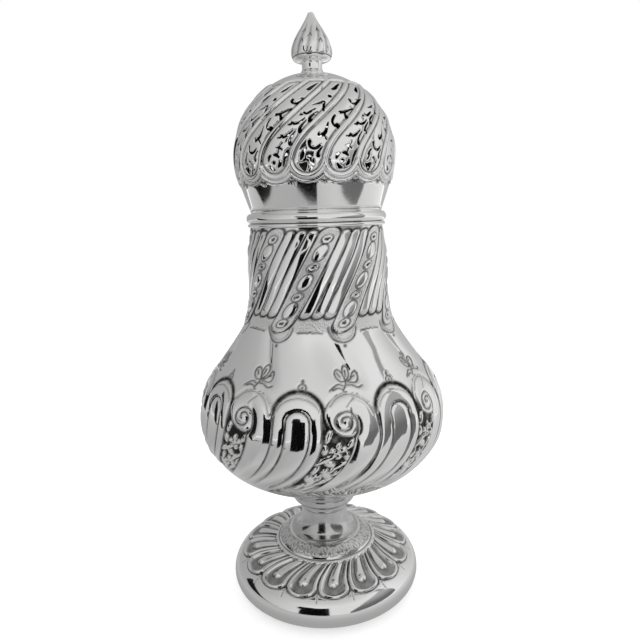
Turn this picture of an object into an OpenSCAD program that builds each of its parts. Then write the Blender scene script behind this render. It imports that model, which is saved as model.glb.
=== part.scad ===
// Sugar caster: a raised silver shaker on a domed foot, with a pierced cover that pulls off.
// Millimetres. The origin is the middle of the face that the foot stands on, and +Z is up.

/* [Foot] */
// Widest diameter of the foot, at its rolled edge
foot_d = 69; // [62:0.2:84]
// Height of the rolled edge
roll_h = 13.2; // [6:0.2:16]
// Height of the lobed dome, from the table to the step
lobed_h = 15.6; // [14:0.2:20]
// How far the side of the foot climbs before it turns in
foot_climb = 5.8; // [1.8:0.2:8]
// How far the dome of the foot runs in level towards the step
foot_reach = 8.2; // [5:0.2:10]
// How far the dome drops over that run
foot_drop = 2.4; // [1:0.2:4]
// Diameter of the step between the lobes and the stem
step_d = 37; // [34:0.5:42]
// Height of the ring that edges the step
step_h = 1.2; // [0.6:0.1:2]
// Height of the chased band between the step and the stem
band_h = 3.2; // [2:0.2:6]
// How far the chased band swells above a straight slope
band_swell = 1.2; // [0.4:0.1:2]
// Width of the wire that the foot stands on
rest_w = 1.6; // [1.5:0.1:5]
// Height of that wire
rest_h = 2; // [1:0.1:4]
// Gap for solder between that wire and the rolled edge
solder_gap = 0.05; // [0.02:0.01:0.1]
// Number of lobes chased round the foot
foot_lobes = 16; // [8:1:18]
// Diameter of a lobe at its round end
foot_lobe_d = 11; // [7:0.2:12]
// Diameter of a lobe at its inner tip
foot_lobe_tip_d = 3.2; // [2:0.2:4]
// How far a lobe stands proud of the foot
foot_lobe_rise = 1; // [0.5:0.1:1.5]
// Turn round the foot from a lobe's round end to its tip, in degrees
foot_lobe_lean = 13; // [0:1:20]
// Turn round the foot to the first lobe's round end, in degrees
foot_lobe_start = 5; // [0:0.5:22.5]

/* [Stem] */
// Diameter of the stem where it stands on the foot
flare_d = 25; // [22:0.5:28]
// Height of the plain edge under the flare
flare_edge = 0.5; // [0.3:0.1:1]
// How far the flare rises while it turns in
flare_rise = 1.6; // [1:0.1:3]
// Diameter of the stem at its waist
waist_d = 16.2; // [14:0.2:18]
// How far the ring near the top of the stem stands proud of the waist
knop_rise = 0.5; // [0.3:0.1:2]
// Height of that ring
knop_h = 1.2; // [1:0.1:2]
// Distance from the top of the stem down to the middle of the ring
knop_drop = 1.4; // [1.2:0.1:3]
// Height of the stem
stem_h = 11; // [9:0.5:20]
// Wall of the stem at its waist
stem_wall = 1.3; // [0.8:0.1:2]

/* [Collar] */
// Diameter of the collar under the bowl
collar_d = 22.8; // [21:0.2:28]
// Diameter of the collar where it stands on the stem
collar_foot_d = 17.8; // [16.4:0.2:20]
// Height of the collar
collar_h = 4; // [3:0.2:8]
// Height of the plain band round the top of the collar
collar_band = 1.6; // [0.8:0.1:2.4]

/* [Body] */
// Widest diameter of the bowl, without its lobes
bowl_d = 86.2; // [78:0.2:96]
// Height from the bowl's underside to its widest line
bowl_h = 33; // [30:0.5:38]
// Radius of the bowl's round side, seen in section
bowl_round = 23.8; // [21:0.2:27]
// How far the underside of the bowl runs out before it turns
under_run = 6.8; // [4:0.1:9]
// How far the underside rises over that run
under_rise = 6.4; // [3:0.1:8]
// How far the round side runs on at a tangent into the underside
under_reach = 5; // [3:0.1:7]
// Height from the widest line to the waist of the neck
shoulder_h = 46; // [40:0.5:56]
// How far the shoulder runs on at the slope of the round side
shoulder_run = 14.6; // [10:0.2:18]
// How far the foot of the neck runs on upright below its waist
neck_run = 14.6; // [10:0.2:18]
// How far the neck stands out from the mouth at its waist
neck_swell = 1.3; // [0.6:0.1:4]
// Height from the waist of the neck to the mouth
neck_h = 18.4; // [16:0.2:26]
// How far the neck stays full above its waist
neck_full = 13.8; // [9:0.2:14]
// How far below the mouth the neck begins to draw in
mouth_draw = 6.4; // [4:0.2:9]
// Height of the straight edge under the mouth
mouth_edge = 1.4; // [0.6:0.1:2]
// Thickness of the silver sheet in the body, the foot and the dome
sheet = 0.75; // [0.6:0.05:1.2]

/* [Chasing on the bowl and the neck] */
// Number of lobes round the bowl
bowl_lobes = 16; // [8:2:16]
// Thickness of the bar that shapes one lobe
bowl_lobe_d = 10.6; // [6:0.2:11]
// How far a lobe stands proud of the bowl
bowl_lobe_rise = 1.1; // [0.4:0.1:2]
// How much tighter a lobe bends than the bowl, so that its ends sink in
bowl_lobe_bite = 3.4; // [3:0.2:8]
// Angle of a lobe's middle, below the widest line of the bowl
bowl_lobe_below = 5; // [0:1:25]
// Lean of the lobes round the bowl, in degrees
bowl_lobe_lean = 15; // [0:1:25]
// Turn round the bowl to the first lobe's middle, in degrees
bowl_lobe_start = 12; // [0:0.5:22.5]
// Number of leaning strips of ornament round the neck
neck_strips = 8; // [4:1:10]
// Turn round the neck to the middle of the first strip, in degrees
neck_start = 34.5; // [0:0.5:45]
// Thickness of the bar that shapes one strip
strip_d = 9; // [6:0.2:10]
// Length of a strip
strip_len = 35; // [26:0.5:36]
// Number of flutes between one strip and the next
flutes_between = 3; // [1:1:3]
// Turn round the neck from one flute to the next, in degrees
flute_pitch = 9; // [6:0.5:9.5]
// Thickness of the bar that shapes one flute
flute_d = 3.8; // [2.4:0.1:4]
// Length of a flute
flute_len = 29; // [16:0.5:30]
// How far strips and flutes stand proud of the neck
neck_rise = 0.6; // [0.3:0.05:1]
// Lean of strips and flutes round the neck, in degrees from upright
neck_lean = 28; // [10:1:30]
// Lean of strips and flutes in towards the mouth, in degrees
neck_tilt = 5.5; // [2:0.5:7]
// Radius that strips and flutes are bent to, so that they follow the neck
neck_bend = 250; // [120:10:400]
// Distance from the mouth down to the strips and flutes
neck_drop = 2; // [1.6:0.2:6]

/* [Mouth and cover joint] */
// Outside diameter of the sleeve that the cover slides on
sleeve_d = 42.6; // [40:0.1:44]
// Wall of the sleeve
sleeve_wall = 0.8; // [0.5:0.1:1.2]
// Depth of the sleeve inside the neck
sleeve_depth = 12; // [6:0.5:16]
// Height of the sleeve inside the dome
sleeve_top = 0.8; // [0.4:0.1:2]
// Gap all round between the sleeve and the rings that it fits in
push_fit = 0.06; // [0.02:0.01:0.1]
// How far the mouth wire stands in from the neck's wall
rim_lip = 0.4; // [0.2:0.1:0.8]
// Radial width of the mouth wire
rim_w = 2; // [1.6:0.1:3]
// Height of the mouth wire
rim_h = 1.3; // [0.8:0.1:2]
// Radial width of the cover's bead
bead_w = 2.4; // [2:0.1:4]
// Height of the cover's bead
bead_h = 4.1; // [3:0.1:6]
// Height of the bead's round side, under the slope that runs in to the dome
bead_side = 3.4; // [2.4:0.1:3.6]

/* [Dome] */
// Diameter of the dome
dome_d = 53.2; // [51:0.2:60]
// Slope of the plain band under the dome, in degrees from upright
dome_slope = 18.6; // [14:0.2:24]
// How far the dome's edge sits out from the bead's bore
seat_step = 0.15; // [0.1:0.05:0.4]
// Diameter of the flat on the crown that the finial stands on
crown_d = 8.4; // [7.6:0.2:10]

/* [Piercing] */
// Number of pierced lobes round the dome
dome_lobes = 16; // [8:2:16]
// Turn of a lobe round the dome for each degree that it climbs
dome_twist = 0.9; // [0.4:0.05:1.2]
// Turn round the dome to the foot of the first lobe, in degrees
dome_lobe_start = 17.5; // [0:0.5:22.5]
// Latitude of the lowest piercing, in degrees
pierce_low = -6; // [-10:1:-4]
// Width of a pierced leaf
leaf_w = 1; // [0.6:0.1:1.2]
// Length of a pierced leaf
leaf_len = 3.2; // [2.4:0.1:3.6]
// Length of a petal of the pierced rosette
petal_len = 2.2; // [1.8:0.1:2.6]
// Diameter of a pierced dot
dot_d = 1.1; // [0.8:0.1:1.4]

/* [Finial] */
// Height of the finial above the crown
finial_h = 18.8; // [17:0.2:26]
// Diameter of the finial where it stands on the crown
finial_foot_d = 7.6; // [6.6:0.2:8.2]
// Widest diameter of the bud
bud_d = 13.4; // [11:0.2:16]
// Height from the bottom of the bud to its widest line
bud_low = 2.8; // [2:0.1:4]
// How far the bud stays full above its widest line
bud_full = 4; // [2:0.2:6]
// Diameter of the spool under the bud
spool_d = 7; // [5:0.2:7.4]
// Height of the spool
spool_h = 4; // [3:0.2:6]
// Diameter of the bud's cut tip
tip_d = 2; // [1:0.1:3]
// How far below the tip the bud begins to narrow fast
tip_draw = 3.4; // [2:0.2:5]
// Diameter of the stud under the finial
stud_d = 2.4; // [1.6:0.1:3]
// Thickness of the washer inside the crown
washer_h = 0.8; // [0.5:0.1:1.5]
// Diameter of the washer
washer_d = 6.2; // [5.4:0.1:6.6]
// Width of the nut across its flats
nut_w = 4.6; // [4.2:0.1:5.4]
// Height of the nut
nut_h = 2.2; // [1.5:0.1:4]
// Length of the stud past the nut
stud_end = 0.8; // [0.4:0.1:2]
// Gap all round between the stud and what it passes through
stud_fit = 0.05; // [0.02:0.01:0.1]

/* [Hidden] */
$fn = 96;
SILVER = [0.87, 0.87, 0.88];

// How far a cutter runs past the faces that it opens
past = 1;

foot_r = foot_d / 2;
roll_r = roll_h / 2;
roll_x = foot_r - roll_r;
step_r = step_d / 2;
flare_r = flare_d / 2;
foot_top = lobed_h + step_h + band_h;
// Where a lobe of the foot begins and ends, as shares of the dome's curve
FOOT_LOBE_FROM = 0.58;
FOOT_LOBE_TO = 0.95;

waist_r = waist_d / 2;
stem_bore_r = waist_r - stem_wall;
stem_top = foot_top + stem_h;
knop_z = stem_top - knop_drop;

collar_r = collar_d / 2;
body_base = stem_top + collar_h;

// Angles between which the side of the bowl is a round arc
BOWL_FROM = -52;
BOWL_TO = 35;
bowl_z = body_base + bowl_h;
bowl_x = bowl_d / 2 - bowl_round;
neck_z = bowl_z + shoulder_h;
mouth_z = neck_z + neck_h;

sleeve_r = sleeve_d / 2;
bore_r = sleeve_r + push_fit;
mouth_r = bore_r + rim_lip + sheet;
neck_r = mouth_r + neck_swell;
bead_z = mouth_z + rim_h;
bead_r = bore_r + bead_w;

dome_base = bead_z + bead_h;
dome_r = dome_d / 2;
dome_edge_r = bore_r + seat_step + sheet / cos(dome_slope);
band_rise = (dome_r * cos(dome_slope) - dome_edge_r) / tan(dome_slope);
dome_z = dome_base + band_rise + dome_r * sin(dome_slope);
crown_z = dome_z + sqrt(dome_r * dome_r - crown_d * crown_d / 4);
// Piercing along one lobe, in degrees of climb, of spread to each side and of splay from the lobe's line
PAIR_CLIMBS = [16, 28, 40];
PAIR_SPREAD = 3.4;
PAIR_SPLAY = 32;
TOP_LEAF_CLIMB = 52;
TOP_DOT_CLIMB = 62;
ROSETTE_SPREAD = 4.2;

washer_z = crown_z - sheet - washer_h;
nut_z = washer_z - nut_h;
stud_hole_d = stud_d + 2 * stud_fit;

// A point on the cubic curve that four points draw, and the way that the curve heads there
function point_on(c, t) = let (u = 1 - t)
    u * u * u * c[0] + 3 * u * u * t * c[1] + 3 * u * t * t * c[2] + t * t * t * c[3];
function heading(c, t) = let (u = 1 - t)
    u * u * (c[1] - c[0]) + 2 * u * t * (c[2] - c[1]) + t * t * (c[3] - c[2]);

// Points along that curve, without its first one, which ends the run before it
function curve(c, steps = 12) = [for (i = [1:steps]) point_on(c, i / steps)];

// Points on an arc about a centre, between two angles, without the first one if a run before it ends there
function arc(centre, r, from, to, steps = 12, first = 0) =
    [for (i = [first:steps]) let (a = from + (to - from) * i / steps) centre + r * [cos(a), sin(a)]];

// Outward direction of a section that heads upwards on the right of the axis
function outward(d) = [d[1], -d[0]] / norm(d);

// A point at some depth under the curve
function sunk(c, t, depth) = point_on(c, t) - depth * outward(heading(c, t));

// A section moved inwards by a wall's thickness
function inset(p, t) = [for (i = [0:len(p) - 1])
    p[i] - t * outward(p[min(i + 1, len(p) - 1)] - p[max(i - 1, 0)])];

module turned(section) {
    rotate_extrude() polygon(section);
}

// A round bar from one point to another, which may taper
module bar(from, to, r1, r2) {
    run = to - from;
    translate(from) rotate([0, acos(run[2] / norm(run)), atan2(run[1], run[0])])
        cylinder(h = norm(run), r1 = r1, r2 = r2);
}

module ring_of(count, start) {
    for (i = [0:count - 1]) rotate([0, 0, start + 360 * i / count]) children();
}

// Outside of the foot, from under its rolled edge to the seat of the stem
foot_curve = [[foot_r, roll_r], [foot_r, roll_r + foot_climb],
              [step_r + foot_reach, lobed_h - foot_drop], [step_r, lobed_h]];
band_foot = [step_r - step_h, lobed_h + step_h];
foot_section = concat(
    arc([roll_x, roll_r], roll_r, -90, 0),
    curve(foot_curve),
    [[step_r, lobed_h + step_h / 2], band_foot],
    curve([band_foot, band_foot + [0, band_swell], [flare_r + band_swell, foot_top], [flare_r, foot_top]], 6),
    [[stem_bore_r, foot_top]]);

// Inside of the foot, above the lip that its rolled edge ends in
foot_inside = [for (p = inset(foot_section, sheet)) if (p[0] > roll_x || p[1] > roll_r) p];

// Outside of the body, from the axis under the bowl to the mouth
function bowl_point(a) = [bowl_x, bowl_z] + bowl_round * [cos(a), sin(a)];
function bowl_heading(a) = [-sin(a), cos(a)];
body_section = concat(
    [[0, body_base], [collar_r, body_base]],
    curve([[collar_r, body_base], [collar_r + under_run, body_base + under_rise],
        bowl_point(BOWL_FROM) - under_reach * bowl_heading(BOWL_FROM), bowl_point(BOWL_FROM)], 8),
    arc([bowl_x, bowl_z], bowl_round, BOWL_FROM, BOWL_TO, 20, 1),
    curve([bowl_point(BOWL_TO), bowl_point(BOWL_TO) + shoulder_run * bowl_heading(BOWL_TO),
        [neck_r, neck_z - neck_run], [neck_r, neck_z]]),
    curve([[neck_r, neck_z], [neck_r, neck_z + neck_full],
        [mouth_r, mouth_z - mouth_draw], [mouth_r, mouth_z - mouth_edge]], 8),
    [[mouth_r, mouth_z]]);

// Wire soldered inside the foot's rolled edge, which the caster stands on
module foot_rim() {
    color(SILVER) difference() {
        cylinder(h = rest_h, r = roll_x - solder_gap);
        translate([0, 0, -past]) cylinder(h = rest_h + 2 * past, r = roll_x - solder_gap - rest_w);
    }
}

// One lobe of the foot: a round end that tapers up towards the step
module foot_lobe() {
    end_r = foot_lobe_d / 2;
    tip_r = foot_lobe_tip_d / 2;
    end = sunk(foot_curve, FOOT_LOBE_FROM, end_r - foot_lobe_rise);
    tip = sunk(foot_curve, FOOT_LOBE_TO, tip_r - foot_lobe_rise);
    from = [end[0], 0, end[1]];
    to = [tip[0] * cos(foot_lobe_lean), tip[0] * sin(foot_lobe_lean), tip[1]];
    translate(from) sphere(r = end_r);
    bar(from, to, end_r, tip_r);
}

// Domed foot, raised from sheet, with a rolled edge and a ring of lobes
module foot() {
    color(SILVER) difference() {
        union() {
            turned(concat(foot_section, [[0, foot_top], [0, 0]]));
            ring_of(foot_lobes, foot_lobe_start) foot_lobe();
        }
        turned(concat([[0, -past], [roll_x, -past], [roll_x, sheet]], foot_inside, [[0, foot_top - sheet]]));
        cylinder(h = foot_top + past, r = stem_bore_r);
    }
}

// Waisted stem between the foot and the collar
module stem() {
    flare_top = foot_top + flare_edge;
    waist_top = knop_z - knop_h / 2;
    section = concat(
        [[flare_r, foot_top], [flare_r, flare_top]],
        curve([[flare_r, flare_top], [waist_r, flare_top + flare_rise],
            [waist_r, flare_top + 2 * flare_rise], [waist_r, waist_top]]),
        arc([waist_r + knop_rise - knop_h / 2, knop_z], knop_h / 2, -90, 90, 8),
        [[collar_foot_d / 2, knop_z + knop_h / 2], [collar_foot_d / 2, stem_top]]);
    color(SILVER) difference() {
        turned(concat(section, [[0, stem_top], [0, foot_top]]));
        translate([0, 0, foot_top - past]) cylinder(h = stem_h + 2 * past, r = stem_bore_r);
    }
}

// Flared collar soldered between the stem and the bowl
module collar() {
    foot = [collar_foot_d / 2, stem_top];
    band = [collar_r, body_base - collar_band];
    bend = [0, (band[1] - foot[1]) / 2];
    section = concat([foot], curve([foot, foot + bend, band - bend, band], 8), [[collar_r, body_base]]);
    color(SILVER) difference() {
        turned(concat(section, [[0, body_base], [0, stem_top]]));
        translate([0, 0, stem_top - past]) cylinder(h = collar_h + 2 * past, r = stem_bore_r);
    }
}

// One lobe of the bowl: a bar bent a little tighter than the bowl's round side
module bowl_lobe() {
    bar_r = bowl_lobe_d / 2;
    bend_r = bowl_round - bowl_lobe_bite + bowl_lobe_rise - bar_r;
    translate([bowl_x, 0, bowl_z]) rotate([90 - bowl_lobe_lean, 0, 0]) rotate([0, 0, -bowl_lobe_below])
        translate([bowl_lobe_bite, 0, 0]) rotate([0, 0, -90])
            rotate_extrude(angle = 180) translate([bend_r, 0]) circle(r = bar_r);
}

// A bar of the neck's chasing, bent to follow the neck and leaning as it climbs
module neck_bar(d, length) {
    bend_angle = length / neck_bend * 180 / PI;
    middle = mouth_z - neck_drop - length * cos(neck_lean) / 2;
    translate([neck_r + neck_rise - d / 2, 0, middle])
        rotate([0, -neck_tilt, 0]) rotate([90 - neck_lean, 0, 0])
            translate([-neck_bend, 0, 0]) rotate([0, 0, -bend_angle / 2])
                rotate_extrude(angle = bend_angle) translate([neck_bend, 0]) circle(d = d);
}

// One strip of the neck and the flutes that follow it
module neck_repeat() {
    neck_bar(strip_d, strip_len);
    for (i = [0:flutes_between - 1])
        rotate([0, 0, 180 / neck_strips + flute_pitch * (i - (flutes_between - 1) / 2)]) neck_bar(flute_d, flute_len);
}

// Body raised in one piece: bowl, shoulder and neck, closed under the bowl
module body() {
    color(SILVER) difference() {
        union() {
            turned(concat(body_section, [[0, mouth_z]]));
            ring_of(bowl_lobes, bowl_lobe_start) bowl_lobe();
            ring_of(neck_strips, neck_start) neck_repeat();
        }
        turned(concat(inset(body_section, sheet), [[mouth_r - sheet, mouth_z + past], [0, mouth_z + past]]));
    }
}

// Wire round the mouth, which holds the sleeve and carries the cover
module mouth_wire() {
    side_r = rim_h / 2;
    color(SILVER) turned(concat(
        [[bore_r, mouth_z]],
        arc([bore_r + rim_w - side_r, mouth_z + side_r], side_r, -90, 90, 8),
        [[bore_r, bead_z]]));
}

// Thin tube that slides into the mouth and holds the cover on
module cover_sleeve() {
    bottom = mouth_z - sleeve_depth;
    height = dome_base + sleeve_top - bottom;
    color(SILVER) translate([0, 0, bottom]) difference() {
        cylinder(h = height, r = sleeve_r);
        translate([0, 0, -past]) cylinder(h = height + 2 * past, r = sleeve_r - sleeve_wall);
    }
}

// Half-round bead round the edge of the cover
module cover_bead() {
    side_r = bead_side / 2;
    color(SILVER) turned(concat(
        [[bore_r, bead_z]],
        arc([bead_r - side_r, bead_z + side_r], side_r, -90, 90),
        [[dome_edge_r, dome_base], [bore_r, dome_base]]));
}

// Half section of the dome: a round top on a plain band that runs on at a tangent
module dome_half_section(r, edge_r, top) {
    tangent = [r * cos(dome_slope), dome_z - r * sin(dome_slope)];
    intersection() {
        translate([0, dome_z]) circle(r = r);
        translate([0, tangent[1]]) square([r + past, top - tangent[1]]);
    }
    polygon([[0, dome_base], [edge_r, dome_base], tangent, [0, tangent[1]]]);
}

// A spot on the dome, where the tool's +Z points outwards and its +Y up the dome
module on_dome(latitude, longitude) {
    translate([0, 0, dome_z]) rotate([0, 0, longitude]) rotate([0, 90 - latitude, 0]) rotate([0, 0, 90])
        translate([0, 0, dome_r - sheet - past]) children();
}

// A leaf-shaped cutter, pointed at both ends and turned from the upright
module leaf_cut(turn, length = leaf_len) {
    r = (length * length + leaf_w * leaf_w) / (4 * leaf_w);
    rotate([0, 0, turn]) linear_extrude(height = sheet + 2 * past) intersection() {
        translate([r - leaf_w / 2, 0]) circle(r = r);
        translate([leaf_w / 2 - r, 0]) circle(r = r);
    }
}

module dot_cut() {
    cylinder(h = sheet + 2 * past, d = dot_d);
}

// Piercing of one lobe, along the line that the lobe takes round the dome
module pierced_lobe(rosette) {
    line = -atan(dome_twist);
    if (rosette) {
        on_dome(pierce_low, 0) dot_cut();
        for (a = [45:90:315])
            on_dome(pierce_low + ROSETTE_SPREAD * cos(a), ROSETTE_SPREAD * sin(a)) leaf_cut(90 - a, petal_len);
    } else {
        on_dome(pierce_low, 0) leaf_cut(90);
        for (side = [-1, 1]) on_dome(pierce_low + PAIR_SPREAD, side * PAIR_SPREAD) leaf_cut(side * -PAIR_SPLAY);
    }
    for (climb = PAIR_CLIMBS, side = [-1, 1])
        on_dome(pierce_low + climb, dome_twist * climb + side * PAIR_SPREAD / cos(pierce_low + climb))
            leaf_cut(line - side * PAIR_SPLAY);
    on_dome(pierce_low + TOP_LEAF_CLIMB, dome_twist * TOP_LEAF_CLIMB) leaf_cut(line);
    on_dome(pierce_low + TOP_DOT_CLIMB, dome_twist * TOP_DOT_CLIMB) dot_cut();
}

// Dome of the cover: raised, and pierced in leaning lobes for the sugar to fall through
module pierced_dome() {
    color(SILVER) difference() {
        rotate_extrude() difference() {
            dome_half_section(dome_r, dome_edge_r, crown_z);
            dome_half_section(dome_r - sheet, dome_edge_r - sheet / cos(dome_slope), crown_z - sheet);
        }
        for (i = [0:dome_lobes - 1])
            rotate([0, 0, dome_lobe_start + 360 * i / dome_lobes]) pierced_lobe(i % 2 == 0);
        translate([0, 0, nut_z]) cylinder(h = crown_z + past - nut_z, d = stud_hole_d);
    }
}

// Cast finial: a bud on a spool, with a stud that passes through the crown
module finial() {
    bud_r = bud_d / 2;
    foot = [finial_foot_d / 2, crown_z];
    spool = [spool_d / 2, crown_z + spool_h / 2];
    bud_foot = [spool_d / 2, crown_z + spool_h];
    widest = [bud_r, bud_foot[1] + bud_low];
    tip = [tip_d / 2, crown_z + finial_h];
    section = concat(
        [foot],
        curve([foot, [spool[0], foot[1] + spool_h / 4], spool - [0, spool_h / 4], spool], 6),
        [bud_foot],
        curve([bud_foot, [bud_r, bud_foot[1]], widest - [0, bud_low / 2], widest], 6),
        curve([widest, widest + [0, bud_full], tip + [tip_d / 2, -tip_draw], tip]));
    color(SILVER) {
        turned(concat(section, [[0, tip[1]], [0, crown_z]]));
        translate([0, 0, nut_z - stud_end]) cylinder(h = crown_z + past - nut_z + stud_end, d = stud_d);
    }
}

// Washer under the crown, which spreads the nut's pull over the thin sheet
module finial_washer() {
    color(SILVER) translate([0, 0, washer_z]) difference() {
        cylinder(h = washer_h, d = washer_d);
        translate([0, 0, -past]) cylinder(h = washer_h + 2 * past, d = stud_hole_d);
    }
}

// Six-sided nut that holds the finial's stud
module finial_nut() {
    color(SILVER) translate([0, 0, nut_z]) difference() {
        cylinder(h = nut_h, d = nut_w / cos(30), $fn = 6);
        translate([0, 0, -past]) cylinder(h = nut_h + 2 * past, d = stud_hole_d);
    }
}

foot_rim();
foot();
stem();
collar();
body();
mouth_wire();
cover_sleeve();
cover_bead();
pierced_dome();
finial();
finial_washer();
finial_nut();
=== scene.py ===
# Looks of a silver sugar caster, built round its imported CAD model.
# Lengths are in millimetres until a mesh is made; the studio's are in metres.
# Azimuths are in degrees, from the viewer's side to the right.
import math

import bmesh
import bpy
import numpy as np
from mathutils import Matrix, Vector
from mathutils.geometry import delaunay_2d_cdt


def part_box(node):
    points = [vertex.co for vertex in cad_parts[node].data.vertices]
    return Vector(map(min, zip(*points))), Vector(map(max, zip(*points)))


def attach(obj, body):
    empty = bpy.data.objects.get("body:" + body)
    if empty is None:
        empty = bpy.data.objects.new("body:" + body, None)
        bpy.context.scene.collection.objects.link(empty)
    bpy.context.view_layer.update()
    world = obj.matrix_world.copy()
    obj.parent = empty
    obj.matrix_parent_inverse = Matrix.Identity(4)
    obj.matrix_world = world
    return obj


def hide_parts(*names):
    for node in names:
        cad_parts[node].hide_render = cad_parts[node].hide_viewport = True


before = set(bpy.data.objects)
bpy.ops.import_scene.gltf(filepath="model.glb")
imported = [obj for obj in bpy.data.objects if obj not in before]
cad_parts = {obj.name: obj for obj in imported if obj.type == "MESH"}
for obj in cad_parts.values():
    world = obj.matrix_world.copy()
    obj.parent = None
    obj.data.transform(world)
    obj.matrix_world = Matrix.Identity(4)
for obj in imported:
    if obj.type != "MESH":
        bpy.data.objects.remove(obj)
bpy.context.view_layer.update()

# Studio: a small white tent on a pale table, open in front, where the camera looks in.
# What the silver mirrors is the tent, the grey table, a dark slit in front, a dark opening on the left
# and a grey one on the right; the tent, the table and the grey opening glow with painted light and shade.
scene = bpy.context.scene
scene.view_settings.view_transform = "Standard"

camera_at = Vector((0.0003, -0.194, 0.1361))
tilt_down = math.radians(10.7)
roll = math.radians(1.59)
level_right = Vector((1, 0, 0))
level_up = Vector((0, math.sin(tilt_down), math.cos(tilt_down)))
camera_right = level_right * math.cos(roll) - level_up * math.sin(roll)
camera_up = level_up * math.cos(roll) + level_right * math.sin(roll)
camera_axes = Matrix((camera_right, camera_up, camera_right.cross(camera_up))).transposed()
camera = bpy.data.objects.new("camera", bpy.data.cameras.new("camera"))
camera.matrix_world = Matrix.Translation(camera_at) @ camera_axes.to_4x4()
camera.data.lens = 31.27
camera.data.clip_start = 0.01
scene.collection.objects.link(camera)
scene.camera = camera


def set_input(tree, socket, value):
    """Joins an input to another node's output, or gives it a plain value."""
    if isinstance(value, bpy.types.NodeSocket):
        tree.links.new(value, socket)
    else:
        socket.default_value = value


def add_node(tree, kind, settings=None, **values):
    """A node with its settings and the values of its named inputs, with underscores for spaces."""
    node = tree.nodes.new(kind)
    for name, value in (settings or {}).items():
        setattr(node, name, value)
    for name, value in values.items():
        set_input(tree, node.inputs[name.replace("_", " ")], value)
    return node


def reckoned(tree, operation, *values):
    """Result of a sum on values that change over a surface."""
    node = add_node(tree, "ShaderNodeMath", {"operation": operation})
    for socket, value in zip(node.inputs, values):
        set_input(tree, socket, value)
    return node.outputs[0]


def mixed(tree, share, first, second):
    """A colour that goes from the first to the second as the share grows."""
    node = add_node(tree, "ShaderNodeMix", {"data_type": "RGBA"})
    for place, value in ((0, share), (6, first), (7, second)):
        set_input(tree, node.inputs[place], value)
    return node.outputs[2]


def ranged(tree, value, low, high, to_low=0.0, to_high=1.0):
    """A value brought from one range to another."""
    node = add_node(tree, "ShaderNodeMapRange", Value=value, From_Min=low, From_Max=high, To_Min=to_low,
                    To_Max=to_high)
    return node.outputs[0]


def object_place(tree):
    return add_node(tree, "ShaderNodeTexCoord").outputs["Object"]


def sides(tree, place):
    return add_node(tree, "ShaderNodeSeparateXYZ", Vector=place).outputs


def grey(level):
    return (level, level, level, 1)


def shade_ramp(tree, factor, stops):
    """Greys that change from stop to stop along a factor."""
    ramp = add_node(tree, "ShaderNodeValToRGB", Fac=factor)
    elements = ramp.color_ramp.elements
    while len(elements) < len(stops):
        elements.new(1)
    for element, (place, shade) in zip(elements, stops):
        element.position = place
        element.color = grey(shade)
    return ramp.outputs["Color"]


surroundings = bpy.data.worlds.new("surroundings")
surroundings.use_nodes = True
surroundings.node_tree.nodes["Background"].inputs["Color"].default_value = grey(1)
scene.world = surroundings


def staged(name, mesh, shade):
    """A matt piece of the studio, which the camera doesn't see directly."""
    piece = bpy.data.objects.new(name, mesh)
    piece.visible_camera = False
    scene.collection.objects.link(piece)
    material = bpy.data.materials.new(name)
    material.use_nodes = True
    shader = material.node_tree.nodes["Principled BSDF"]
    shader.inputs["Roughness"].default_value = 1
    shader.inputs["Specular IOR Level"].default_value = 0
    shader.inputs["Base Color"].default_value = grey(shade)
    mesh.materials.append(material)
    return piece


def studio_card(name, corners, shade):
    mesh = bpy.data.meshes.new(name)
    mesh.from_pydata(corners, [], [range(len(corners))])
    return staged(name, mesh, shade)


def tree_of(piece):
    return piece.data.materials[0].node_tree


def glowing(piece, shade, strength):
    tree = tree_of(piece)
    shader = tree.nodes["Principled BSDF"]
    set_input(tree, shader.inputs["Emission Color"], shade)
    set_input(tree, shader.inputs["Emission Strength"], strength)


def mirrored_only(piece, shade, strength=1):
    """Lets a piece of the studio be seen in the silver alone, glowing in a painted shade whatever the light.
    """
    piece.visible_diffuse = False
    piece.visible_transmission = False
    piece.visible_shadow = False
    glowing(piece, shade, strength)


def disc(radius, height):
    return [(radius * math.cos(a), radius * math.sin(a), height) for a in np.radians(range(0, 360, 5))]


def upright_card(name, base, along, outline, shade):
    """A card that stands up, from places along its foot and heights."""
    along = np.array(along) / np.linalg.norm(along)
    corners = [(*(np.array(base) + place * along), height) for place, height in outline]
    return studio_card(name, corners, shade)


# The tent glows, and only the silver sees it: painted light that is brightest on the right, darker on the
# left and darkest behind, with an even grey roof.
tent_radius = 0.9
walls_by_azimuth = [(-180, 0.42), (-133, 0.4), (-86, 0.47), (-49, 0.64), (-16, 0.8), (16, 0.78), (49, 0.8),
                    (86, 0.88), (133, 0.6), (180, 0.42)]
roof_share = [(0.75, 0), (0.97, 1)]
roof_shade = 0.56
tent_mesh = bpy.data.meshes.new("tent")
tent_shell = bmesh.new()
bmesh.ops.create_uvsphere(tent_shell, u_segments=72, v_segments=36, radius=tent_radius)
tent_shell.to_mesh(tent_mesh)
tent_shell.free()
tent = staged("tent", tent_mesh, 0)
tent_tree = tree_of(tent)
tent_place = object_place(tent_tree)
tent_towards = add_node(tent_tree, "ShaderNodeVectorMath", {"operation": "NORMALIZE"}, Vector=tent_place)
tent_side = sides(tent_tree, tent_towards.outputs[0])
tent_front = reckoned(tent_tree, "MULTIPLY", tent_side["Y"], -1)
tent_turn = reckoned(tent_tree, "ARCTAN2", tent_side["X"], tent_front)
tent_walls = shade_ramp(tent_tree, ranged(tent_tree, tent_turn, -math.pi, math.pi),
                        [((turn + 180) / 360, shade) for turn, shade in walls_by_azimuth])
tent_roof = shade_ramp(tent_tree, tent_side["Z"], roof_share)
mirrored_only(tent, mixed(tent_tree, tent_roof, tent_walls, grey(roof_shade)))

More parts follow.
